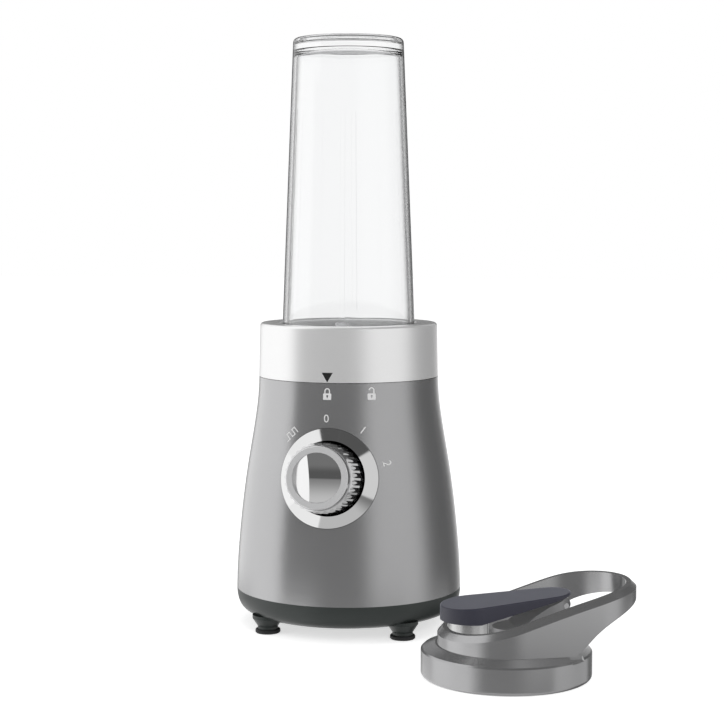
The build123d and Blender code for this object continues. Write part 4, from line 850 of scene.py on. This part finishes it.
def finish_piece(piece: Piece, finish: Finish) -> Piece:
    """Give a piece one finish all over.

    Args:
        piece: The piece.
        finish: What it is made of.

    Returns:
        The same piece.
    """
    piece.data.materials.clear()
    piece.data.materials.append(finish.material())
    return piece


def hide_from(thing: Piece, *rays: str) -> None:
    """Hide a thing from some kinds of ray."""
    for ray in rays:
        setattr(thing, f"visible_{ray}", False)


def surface_of(node: Piece) -> BVHTree:
    """Search tree of a solid's surface.

    Args:
        node: The solid.

    Returns:
        The tree of its faces.
    """
    mesh = node.data
    points = [vertex.co for vertex in mesh.vertices]
    return BVHTree.FromPolygons(points, [tuple(face.vertices) for face in mesh.polygons])


def wrap(piece: Piece, surface: BVHTree, ray: Callable[[float, float], Ray]) -> None:
    """Lay a flat piece on a curved surface.

    Args:
        piece: Thin piece drawn in XY, whose Z is its height above the surface.
        surface: The surface that it is laid on.
        ray: Gives the start and direction of the ray for a point of the piece.
    """
    for vertex in piece.data.vertices:
        start, heading = ray(vertex.co.x, vertex.co.y)
        hit = surface.ray_cast(start, heading)[0]
        vertex.co = hit - heading * vertex.co.z
    piece.data.update()


def cut_finely(piece: Piece, pitch: float) -> None:
    """Slice a flat piece across X and Y so that it can follow a curved wall.

    Args:
        piece: The flat piece.
        pitch: Distance between the slices.
    """
    select_only(piece)
    points = [vertex.co.copy() for vertex in piece.data.vertices]
    bpy.ops.object.mode_set(mode="EDIT")
    for axis in (0, 1):
        low = min(point[axis] for point in points)
        high = max(point[axis] for point in points)
        normal = [0.0, 0.0, 0.0]
        normal[axis] = 1.0
        count = int((high - low) / pitch)
        for index in range(1, count + 1):
            place = [0.0, 0.0, 0.0]
            place[axis] = low + (high - low) * index / (count + 1)
            bpy.ops.mesh.select_all(action="SELECT")
            bpy.ops.mesh.bisect(plane_co=place, plane_no=normal)
    bpy.ops.object.mode_set(mode="OBJECT")


# ---------------------------------------------------------------- printed marks
INK_HEIGHT = 0.06 * MM
INK_DEPTH = 0.10 * MM


class Symbol(Enum):
    """Common symbols that are printed on the base."""

    PULSE = "pulse"
    LOCKED = "locked"
    UNLOCKED = "unlocked"
    POINTER = "pointer"


@dataclass
class SymbolPrinter:
    """Draws flat symbols about the origin, as thin closed pieces."""

    thickness: float = INK_DEPTH + INK_HEIGHT
    lock_width: float = 4.7 * MM
    lock_height: float = 3.6 * MM
    lock_corner: float = 0.45 * MM
    corner_segments: int = 4
    shackle_radius: float = 1.65 * MM
    shackle_width: float = 0.65 * MM
    shackle_lift: float = 1.35 * MM
    opened_lift: float = 0.5 * MM
    leg_overlap: float = 0.2 * MM
    keyhole_radius: float = 0.62 * MM
    keyhole_width: float = 0.52 * MM
    keyhole_middle: float = 0.40    # this and the next two are shares of the lock's height
    slot_middle: float = 0.58
    slot_length: float = 0.34
    disc_sides: int = 32
    cutter_growth: float = 3.0
    cutter_spread: float = 1.2
    pulse_step: float = 2.1 * MM
    pulse_height: float = 3.4 * MM
    pulse_line: float = 0.62 * MM
    pointer_width: float = 6.4 * MM
    pointer_height: float = 5.4 * MM
    digit_share: float = 0.69       # a digit's height as a share of the text's size
    digit_curve: int = 6

    def drawn(self, symbol: Symbol) -> Piece:
        """Draw one symbol.

        Args:
            symbol: Which one.

        Returns:
            The symbol as one thin piece about the origin.
        """
        makers = {
            Symbol.PULSE: self._pulse,
            Symbol.LOCKED: lambda: self._padlock(False),
            Symbol.UNLOCKED: lambda: self._padlock(True),
            Symbol.POINTER: self._pointer,
        }
        return makers[symbol]()

    def number(self, digits: str, height: float) -> Piece:
        """Plain number.

        Args:
            digits: What it says.
            height: Height of its digits.

        Returns:
            The number as one thin piece about the origin.
        """
        clear_selection()
        bpy.ops.object.text_add(location=(0.0, 0.0, 0.0))
        text = bpy.context.object
        text.data.body = digits
        text.data.align_x = "CENTER"
        text.data.align_y = "CENTER"
        text.data.size = height / self.digit_share
        text.data.extrude = self.thickness / 2
        text.data.resolution_u = self.digit_curve
        bpy.ops.object.convert(target="MESH")
        return settle(f"number_{digits}")

    def _bar(self, x: float, y: float, width: float, height: float) -> Piece:
        """Flat bar.

        Args:
            x: Middle of the bar across.
            y: Middle of the bar up.
            width: Its length across.
            height: Its length up.

        Returns:
            The bar.
        """
        clear_selection()
        bpy.ops.mesh.primitive_cube_add(
            size=1.0, location=(x, y, 0.0), scale=(width, height, self.thickness))
        return settle("bar")

    def _disc(self, y: float, radius: float) -> Piece:
        """Flat disc about (0, y).

        Args:
            y: Middle of the disc up.
            radius: Its radius.

        Returns:
            The disc.
        """
        clear_selection()
        bpy.ops.mesh.primitive_cylinder_add(
            vertices=self.disc_sides, radius=radius, depth=self.thickness,
            location=(0.0, y, 0.0))
        return settle("disc")

    def _pulse(self) -> Piece:
        """Square wave of two strokes.

        Returns:
            The wave.
        """
        step, line, height = self.pulse_step, self.pulse_line, self.pulse_height
        pieces = []
        for start in (-step, step):
            pieces.append(self._bar(start - step / 2, -height / 2, step + line, line))
            pieces.append(self._bar(start, 0.0, line, height + line))
            pieces.append(self._bar(start + step / 2, height / 2, step + line, line))
        for fall in (0.0, step * 2.0):
            pieces.append(self._bar(fall, 0.0, line, height + line))
        return self._fused("pulse_mark", pieces)

    def _padlock(self, opened: bool) -> Piece:
        """Padlock with a keyhole.

        Args:
            opened: Whether its shackle is lifted and stands on one leg.

        Returns:
            The padlock, mirrored if it is open.
        """
        height = self.lock_height
        body = self._bar(0.0, -height / 2, self.lock_width, height)
        select_only(body)
        self._round_corners(body)
        keyhole = self._disc(-height * self.keyhole_middle, self.keyhole_radius)
        slot = self._bar(
            0.0, -height * self.slot_middle, self.keyhole_width, height * self.slot_length)
        self._cut(body, [keyhole, slot])
        lift = self.shackle_lift + (self.opened_lift if opened else 0.0)
        shackle = self._arch(lift)
        reach = self.shackle_radius - self.shackle_width / 2
        legs = [
            self._bar(side * reach, lift / 2, self.shackle_width, lift + self.leg_overlap)
            for side in ((-1.0,) if opened else (-1.0, 1.0))]
        piece = self._fused("padlock", [body, shackle, *legs])
        if opened:
            piece.data.transform(Matrix.Scale(-1.0, 4, Vector((1.0, 0.0, 0.0))))
            piece.data.flip_normals()
        return piece

    def _arch(self, y: float) -> Piece:
        """Upper half of the shackle's ring.

        Args:
            y: Height of the ring's middle.

        Returns:
            The half ring.
        """
        outer = self._disc(y, self.shackle_radius)
        inner = self._disc(y, self.shackle_radius - self.shackle_width)
        reach = self.shackle_radius * 2
        lower = self._bar(0.0, y - reach / 2, reach * self.cutter_spread, reach)
        self._cut(outer, [inner, lower])
        return outer

    def _pointer(self) -> Piece:
        """Triangle that points down.

        Returns:
            The triangle, standing on its tip.
        """
        clear_selection()
        bpy.ops.mesh.primitive_cylinder_add(vertices=3, radius=1.0, depth=self.thickness)
        piece = active_piece("pointer")
        points = [vertex.co for vertex in piece.data.vertices]
        low = min(point.y for point in points)
        high = max(point.y for point in points)
        wide = max(abs(point.x) for point in points)
        tall = self.pointer_height
        for point in points:
            point.x *= self.pointer_width / 2 / wide
            point.y = (low - point.y) / (high - low) * tall + tall / 2
            point.z = -point.z
        return piece

    def _round_corners(self, piece: Piece) -> None:
        """Round the upright edges of a flat piece.

        Args:
            piece: The piece, which is the active one.
        """
        bevel = piece.modifiers.new("corners", "BEVEL")
        bevel.width = self.lock_corner
        bevel.segments = self.corner_segments
        bevel.limit_method = "WEIGHT"
        weights = piece.data.attributes.new("bevel_weight_edge", "FLOAT", "EDGE")
        for edge in piece.data.edges:
            start, end = (piece.data.vertices[index].co for index in edge.vertices)
            upright = abs(start.z - end.z) > INK_HEIGHT
            weights.data[edge.index].value = 1.0 if upright else 0.0
        bpy.ops.object.modifier_apply(modifier=bevel.name)

    def _cut(self, piece: Piece, cutters: list[Piece]) -> None:
        """Take the cutters, made taller, out of a flat piece.

        Args:
            piece: The piece.
            cutters: Flat pieces, which are used up.
        """
        for cutter in cutters:
            for vertex in cutter.data.vertices:
                vertex.co.z *= self.cutter_growth
            combine(piece, cutter, "DIFFERENCE")

    @staticmethod
    def _fused(name: str, pieces: list[Piece]) -> Piece:
        """Unite overlapping flat pieces into one closed piece.

        Args:
            name: The closed piece's name.
            pieces: The flat pieces, of which the first one stays.

        Returns:
            The closed piece.
        """
        base, *others = pieces
        for other in others:
            combine(base, other, "UNION")
        select_only(base)
        return active_piece(name)


@dataclass
class PrintedMarks:
    """Marks on the housing and the collar: settings round the dial, padlocks and pointer."""

    dial_marks_radius: float = 33.6 * MM
    number_height: float = 4.4 * MM
    pulse_place: float = -43.0
    number_places: tuple[tuple[str, float], ...] = (("0", -2.6), ("1", 34.5), ("2", 73.5))
    padlock_places: tuple[tuple[Symbol, float], ...] = (
        (Symbol.LOCKED, -1.4), (Symbol.UNLOCKED, 25.9))
    padlock_z: float = 141.9 * MM
    pointer_angle: float = -1.5
    pointer_z: float = 150.9 * MM
    wall_radius: float = 53.0 * MM
    wall_reach: float = 90 * MM
    dial_reach: float = 40 * MM
    slice_pitch: float = 1.2 * MM
    printer: SymbolPrinter = field(default_factory=SymbolPrinter)

    def build(self, nodes: Solids) -> list[Piece]:
        """Make all marks.

        Args:
            nodes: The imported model's objects by name.

        Returns:
            The finished pieces, riding on what carries them.
        """
        housing = surface_of(nodes["base_housing"])
        collar = surface_of(nodes["lock_collar"])
        dial_marks = merge("dial_marks", self._round_dial(housing))
        lock_marks = merge("lock_marks", [
            self._on_wall(symbol, housing, angle, self.padlock_z)
            for symbol, angle in self.padlock_places])
        pointer = merge("lock_pointer", [
            self._on_wall(Symbol.POINTER, collar, self.pointer_angle, self.pointer_z)])
        finish_piece(dial_marks, INK_LIGHT)
        finish_piece(lock_marks, INK_LIGHT)
        finish_piece(pointer, INK_BLACK)
        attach(dial_marks, "base")
        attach(lock_marks, "base")
        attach(pointer, "blade_unit")
        return [dial_marks, lock_marks, pointer]

    def _round_dial(self, housing: BVHTree) -> list[Piece]:
        """Pulse mark and numbers round the dial.

        Args:
            housing: The housing's surface.

        Returns:
            The marks, laid on the housing.
        """
        marks = [(self.printer.drawn(Symbol.PULSE), self.pulse_place)]
        for digits, place in self.number_places:
            marks.append((self.printer.number(digits, self.number_height), place))
        for piece, place in marks:
            turn = Matrix.Rotation(math.radians(-place), 4, "Z")
            piece.data.transform(turn @ Matrix.Translation((0.0, self.dial_marks_radius, 0.0)))
            cut_finely(piece, self.slice_pitch)
            wrap(piece, housing, self._dial_ray)
        return [piece for piece, _ in marks]

    def _on_wall(self, symbol: Symbol, surface: BVHTree, angle: float, z: float) -> Piece:
        """Symbol on a round wall.

        Args:
            symbol: Which one.
            surface: The wall's surface.
            angle: Place of the symbol's middle, from the front towards the right.
            z: Height of the symbol's middle.

        Returns:
            The symbol, laid on the wall.
        """
        def ray(x: float, y: float) -> Ray:
            """Ray towards the base's axis, with X wound round the wall.

            Args:
                x: Place across the symbol.
                y: Place up the symbol.

            Returns:
                The ray's start and direction.
            """
            turn = math.radians(angle) + x / self.wall_radius
            out = Vector((math.sin(turn), -math.cos(turn), 0.0))
            return BASE_AXIS + out * self.wall_reach + Vector((0.0, 0.0, z + y)), -out

        piece = self.printer.drawn(symbol)
        cut_finely(piece, self.slice_pitch)
        wrap(piece, surface, ray)
        return piece

    def _dial_ray(self, x: float, y: float) -> Ray:
        """Ray along the dial's axis on to the housing."""
        place = DIAL_CENTRE + Vector((x, 0.0, 0.0)) + DIAL_UP * y
        return place + DIAL_OUT * self.dial_reach, -DIAL_OUT


# ---------------------------------------------------------------- the blender's sub-assemblies
class SubAssembly:
    """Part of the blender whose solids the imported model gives."""

    finishes: dict[Finish, list[str]] = {}

    def build(self, nodes: Solids) -> list[Piece]:
        """Dress the sub-assembly's solids.

        Args:
            nodes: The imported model's objects by name.

        Returns:
            The dressed solids.
        """
        return [finish_piece(nodes[name], finish)
                for finish, names in self.finishes.items() for name in names]


@dataclass
class MotorBase(SubAssembly):
    """Housing, bottom cover, feet and the parts that are fixed in them."""

    marks: PrintedMarks = field(default_factory=PrintedMarks)
    finishes = {
        HOUSING_GREY: ["base_housing"],
        BLACK_PLASTIC: ["bottom_cover", "cup_seat"],
        FOOT_RUBBER: ["rubber_feet", "cord_gland", "motor_mounts"],
        STEEL: ["bottom_screws", "interlock_plunger"],
        BOARD_GREEN: ["circuit_board"],
        NYLON: ["interlock_switch"],
    }

    def build(self, nodes: Solids) -> list[Piece]:
        """Dress the base's solids and print its marks.

        Args:
            nodes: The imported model's objects by name.

        Returns:
            The dressed solids and the marks.
        """
        return super().build(nodes) + self.marks.build(nodes)


class Motor(SubAssembly):
    """Universal motor inside the base."""

    finishes = {
        CAST_ALLOY: ["lower_bracket", "upper_bracket"],
        TURNED_ALLOY: ["bolt_spacers"],
        STEEL: ["lower_bearing", "upper_bearing", "motor_shaft", "motor_bolts", "brush_springs"],
        LAMINATIONS: ["stator_core", "armature_core"],
        COPPER_WIRE: ["field_coils", "armature_winding"],
        COPPER_BAR: ["commutator"],
        BRASS: ["brush_holders"],
        CARBON: ["carbon_brushes"],
        NYLON: ["cooling_fan", "drive_coupler"],
    }


class Dial(SubAssembly):
    """Speed dial: bright ring, fluted knob and the switch behind them."""

    finishes = {
        BEZEL_CHROME: ["dial_bezel"],
        KNOB_GREY: ["knob_body"],
        CAP_MIRROR: ["knob_cap"],
        NYLON: ["rotary_switch"],
        SWITCH_STEEL: ["switch_nut", "switch_spindle"],
    }


class BladeUnit(SubAssembly):
    """Lock collar with the blades, their bearing and seals."""

    finishes = {
        COLLAR_SILVER: ["lock_collar"],
        BLACK_PLASTIC: ["blade_holder"],
        SILICONE: ["cup_gasket"],
        FOOT_RUBBER: ["shaft_seal"],
        BRONZE: ["blade_bearing"],
        STEEL: ["blade_shaft", "blade_washers", "blade_nut", "driven_coupler"],
        BLADE_STEEL: ["lower_blade", "upper_blade"],
    }


class Cup(SubAssembly):
    """Clear cup, standing on its rim."""

    finishes = {CUP_CLEAR: ["cup"]}

    def build(self, nodes: Solids) -> list[Piece]:
        """Dress the cup, which lets light through to what it covers.

        Args:
            nodes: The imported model's objects by name.

        Returns:
            The dressed cup.
        """
        hide_from(nodes["cup"], "shadow")
        return super().build(nodes)


class TravelLid(SubAssembly):
    """Lid with its carry loop, spout and flip cap."""

    finishes = {
        LID_GREY: ["lid_body", "carry_loop"],
        HUB_SHADED_GREY: ["hinge_hub"],
        SPOUT_SILVER: ["spout"],
        CAP_SLATE: ["flip_cap"],
        STEEL: ["hinge_pin"],
        SILICONE: ["lid_gasket", "cap_seal"],
    }

    def build(self, nodes: Solids) -> list[Piece]:
        """Dress the lid's solids, which the base beside them doesn't mirror.

        Args:
            nodes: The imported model's objects by name.

        Returns:
            The dressed solids.
        """
        pieces = super().build(nodes)
        for piece in pieces:
            hide_from(piece, "glossy")
        return pieces


# ---------------------------------------------------------------- studio
ZENITH = 90.0
LID_LEVEL = {"low": -24.0, "high": -15.7}


@dataclass(frozen=True)
class Card:
    """Light or dark field of the studio's surround, by its direction from the object."""

    middle: float           # degrees from the camera's side, positive to the camera's right
    width: float
    light: float
    edge: float = 8.0
    low: float = -ZENITH
    high: float = ZENITH
    rise_edge: float = 3.0

    def laid(self, tree: Tree, turn: Socket, rise: Socket, behind: object) -> Socket:
        """Lay the card over what is behind it.

        Args:
            tree: The surround's node tree.
            turn: Direction round the object, in degrees.
            rise: Direction above the horizon, in degrees.
            behind: Colour of what the card covers.

        Returns:
            The colour with the card in it.
        """
        away = tree.maths("WRAP", tree.maths("SUBTRACT", turn, self.middle), 180.0, -180.0)
        mask = tree.edge(tree.maths("ABSOLUTE", away), self.width / 2, self.edge, rising=False)
        if self.low > -ZENITH:
            above = tree.edge(rise, self.low, self.rise_edge, rising=True)
            mask = tree.maths("MULTIPLY", mask, above)
        if self.high < ZENITH:
            below = tree.edge(rise, self.high, self.rise_edge, rising=False)
            mask = tree.maths("MULTIPLY", mask, below)
        return tree.blend(mask, behind, grey(self.light))


@dataclass(frozen=True)
class Lamp:
    """Soft square lamp that is aimed at the object."""

    name: str
    place: Point
    size: float
    power: float
    aim: Point = (0.0, 0.0, 0.15)

    def build(self) -> None:
        """Add the lamp, which neither metal nor glass shows."""
        clear_selection()
        bpy.ops.object.light_add(type="AREA", location=self.place)
        lamp = active_piece(self.name)
        lamp.data.size = self.size
        lamp.data.energy = self.power
        heading = Vector(self.aim) - Vector(self.place)
        lamp.rotation_euler = heading.to_track_quat("-Z", "Y").to_euler()
        hide_from(lamp, "glossy", "transmission")


@dataclass
class Studio:
    """White floor and backdrop, the surround that bright metal mirrors, and the lamps."""

    floor_half: float = 6.0
    floor_drop: float = 0.2 * MM
    floor_grey: float = 0.85
    floor_roughness: float = 0.9
    floor_glow: float = 0.62
    surround_radius: float = 0.8
    surround_height: float = 0.1
    surround_rings: int = 48
    ambient: float = 0.55
    front_light: float = 0.18
    floor_light: float = 0.55
    floor_rise: float = -65.0
    floor_edge: float = 6.0
    ceiling_light: float = 0.22
    ceiling_rise: float = 76.0
    ceiling_edge: float = 8.0
    cards: tuple[Card, ...] = (
        Card(169.0, 40.0, 0.80, edge=20.0),
        Card(-163.0, 30.0, 0.26, edge=16.0),
        Card(180.0, 52.0, 0.12, edge=12.0, low=4.0, rise_edge=8.0),
        Card(-112.0, 84.0, 1.10, edge=14.0),
        Card(51.0, 62.0, 0.74, edge=26.0),
        Card(113.0, 34.0, 0.10, edge=18.0),
        Card(12.0, 90.0, 0.22, edge=10.0, low=-38.0, high=-15.7),
        Card(-72.0, 80.0, 1.10, edge=24.0, **LID_LEVEL),
        Card(-135.0, 46.0, 0.60, edge=14.0, **LID_LEVEL),
        Card(88.0, 64.0, 0.60, edge=14.0, **LID_LEVEL),
        Card(-108.5, 103.0, 1.00, edge=3.0, low=24.0, high=74.0),
        Card(-33.5, 47.0, 0.10, edge=3.0, low=38.0, high=74.0, rise_edge=14.0),
        Card(50.0, 120.0, 0.10, edge=3.0, low=38.0, high=74.0),
        Card(20.0, 118.0, 0.58, edge=3.0, low=-64.0, high=-26.0, rise_edge=18.0),
        Card(-105.0, 132.0, 1.00, edge=3.0, low=-64.0, high=-24.0),
    )
    lamps: tuple[Lamp, ...] = (
        Lamp("left_lamp", (-1.3, -0.9, 0.9), size=1.1, power=6.0),
        Lamp("right_lamp", (0.9, -1.5, 0.8), size=1.0, power=12.0),
        Lamp("top_lamp", (0.0, 0.1, 1.9), size=1.3, power=3.0),
    )

    def build(self) -> None:
        """Make the floor, the surround, the world and the lamps."""
        self._floor()
        self._surround()
        self._world()
        for lamp in self.lamps:
            lamp.build()

    def _floor(self) -> None:
        """Pale floor just under the feet."""
        clear_selection()
        bpy.ops.mesh.primitive_plane_add(
            size=2 * self.floor_half, location=(0.0, 0.0, -self.floor_drop))
        floor = active_piece("floor")
        material, tree = new_material("floor_white")
        shader = tree.wired("BsdfPrincipled", {
            "Base Color": grey(self.floor_grey),
            "Roughness": self.floor_roughness,
            "Specular IOR Level": 0.0,
        })
        seen = tree.add("LightPath").outputs["Is Camera Ray"]
        glow = tree.wired("Emission", {"Strength": tree.maths("MULTIPLY", seen, self.floor_glow)})
        both = tree.wired("AddShader", {0: shader.outputs[0], 1: glow.outputs[0]})
        tree.wired("OutputMaterial", {"Surface": both.outputs[0]})
        floor.data.materials.append(material)
        hide_from(floor, "glossy", "transmission")

    def _surround(self) -> None:
        """Sphere that only reflections see, with the studio's cards on it."""
        clear_selection()
        bpy.ops.mesh.primitive_uv_sphere_add(
            segments=2 * self.surround_rings, ring_count=self.surround_rings,
            radius=self.surround_radius)
        surround = active_piece("surround")
        surround.location = BASE_AXIS + Vector((0.0, 0.0, self.surround_height))
        bpy.ops.object.mode_set(mode="EDIT")
        bpy.ops.mesh.select_all(action="SELECT")
        bpy.ops.mesh.flip_normals()
        bpy.ops.object.mode_set(mode="OBJECT")
        material, tree = new_material("surround_cards")
        material.cycles.emission_sampling = "NONE"
        x, y, z = tree.split(tree.add("TexCoord").outputs["Object"])
        turn = tree.maths("DEGREES", tree.maths("ARCTAN2", y, x))
        turn = tree.maths("ADD", turn, 90.0 - CAMERA_TURN)
        rise = tree.maths("ARCSINE", tree.maths("DIVIDE", z, self.surround_radius))
        rise = tree.maths("DEGREES", rise)
        colour: object = grey(self.front_light)
        for card in self.cards:
            colour = card.laid(tree, turn, rise, colour)
        floor = tree.edge(rise, self.floor_rise, self.floor_edge, rising=False)
        colour = tree.blend(floor, colour, grey(self.floor_light))
        ceiling = tree.edge(rise, self.ceiling_rise, self.ceiling_edge, rising=True)
        colour = tree.blend(ceiling, colour, grey(self.ceiling_light))
        glow = tree.wired("Emission", {"Color": colour})
        tree.wired("OutputMaterial", {"Surface": glow.outputs[0]})
        surround.data.materials.append(material)
        hide_from(surround, "camera", "diffuse", "transmission", "shadow", "volume_scatter")

    def _world(self) -> None:
        """White to the eye and in reflections and glass, and a plain level for the rest."""
        world = bpy.data.worlds.new("studio")
        bpy.context.scene.world = world
        world.use_nodes = True
        tree = Tree(world.node_tree)
        path = tree.add("LightPath").outputs
        seen = tree.maths("MAXIMUM", path["Is Camera Ray"], tree.maths(
            "MAXIMUM", path["Is Glossy Ray"], path["Is Transmission Ray"]))
        back = tree.wired("Background", {
            "Color": grey(1.0), "Strength": tree.ramp(seen, 0.0, 1.0, self.ambient, 1.0)})
        tree.wired("OutputWorld", {"Surface": back.outputs[0]})


@dataclass(frozen=True)
class Camera:
    """Camera a little to the right of the front and slightly above."""

    place: Point = (0.15986, -0.98431, 0.24014)
    down: float = 4.672
    turn: float = CAMERA_TURN
    lens: float = 87.44
    sensor: float = 36.0
    far: float = 50.0

    def build(self) -> None:
        """Add the camera and make it the scene's."""
        clear_selection()
        bpy.ops.object.camera_add(
            location=self.place,
            rotation=(math.radians(90.0 - self.down), 0.0, math.radians(self.turn)))
        camera = active_piece("camera")
        camera.data.lens = self.lens
        camera.data.sensor_width = self.sensor
        camera.data.clip_end = self.far
        bpy.context.scene.camera = camera


def main() -> None:
    """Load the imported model, dress it, print its marks and light it."""
    logging.basicConfig(level=logging.INFO, format="%(message)s")
    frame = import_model()
    nodes = frame["nodes"]
    bpy.context.scene.view_settings.view_transform = "Standard"
    Camera().build()
    for part in (MotorBase(), Motor(), Dial(), BladeUnit(), Cup(), TravelLid()):
        for piece in part.build(nodes):
            LOG.info("%s: %s", type(part).__name__, piece.name)
    Studio().build()
    LOG.info("dressed %d solids", len(nodes))


if __name__ == "__main__":
    main()
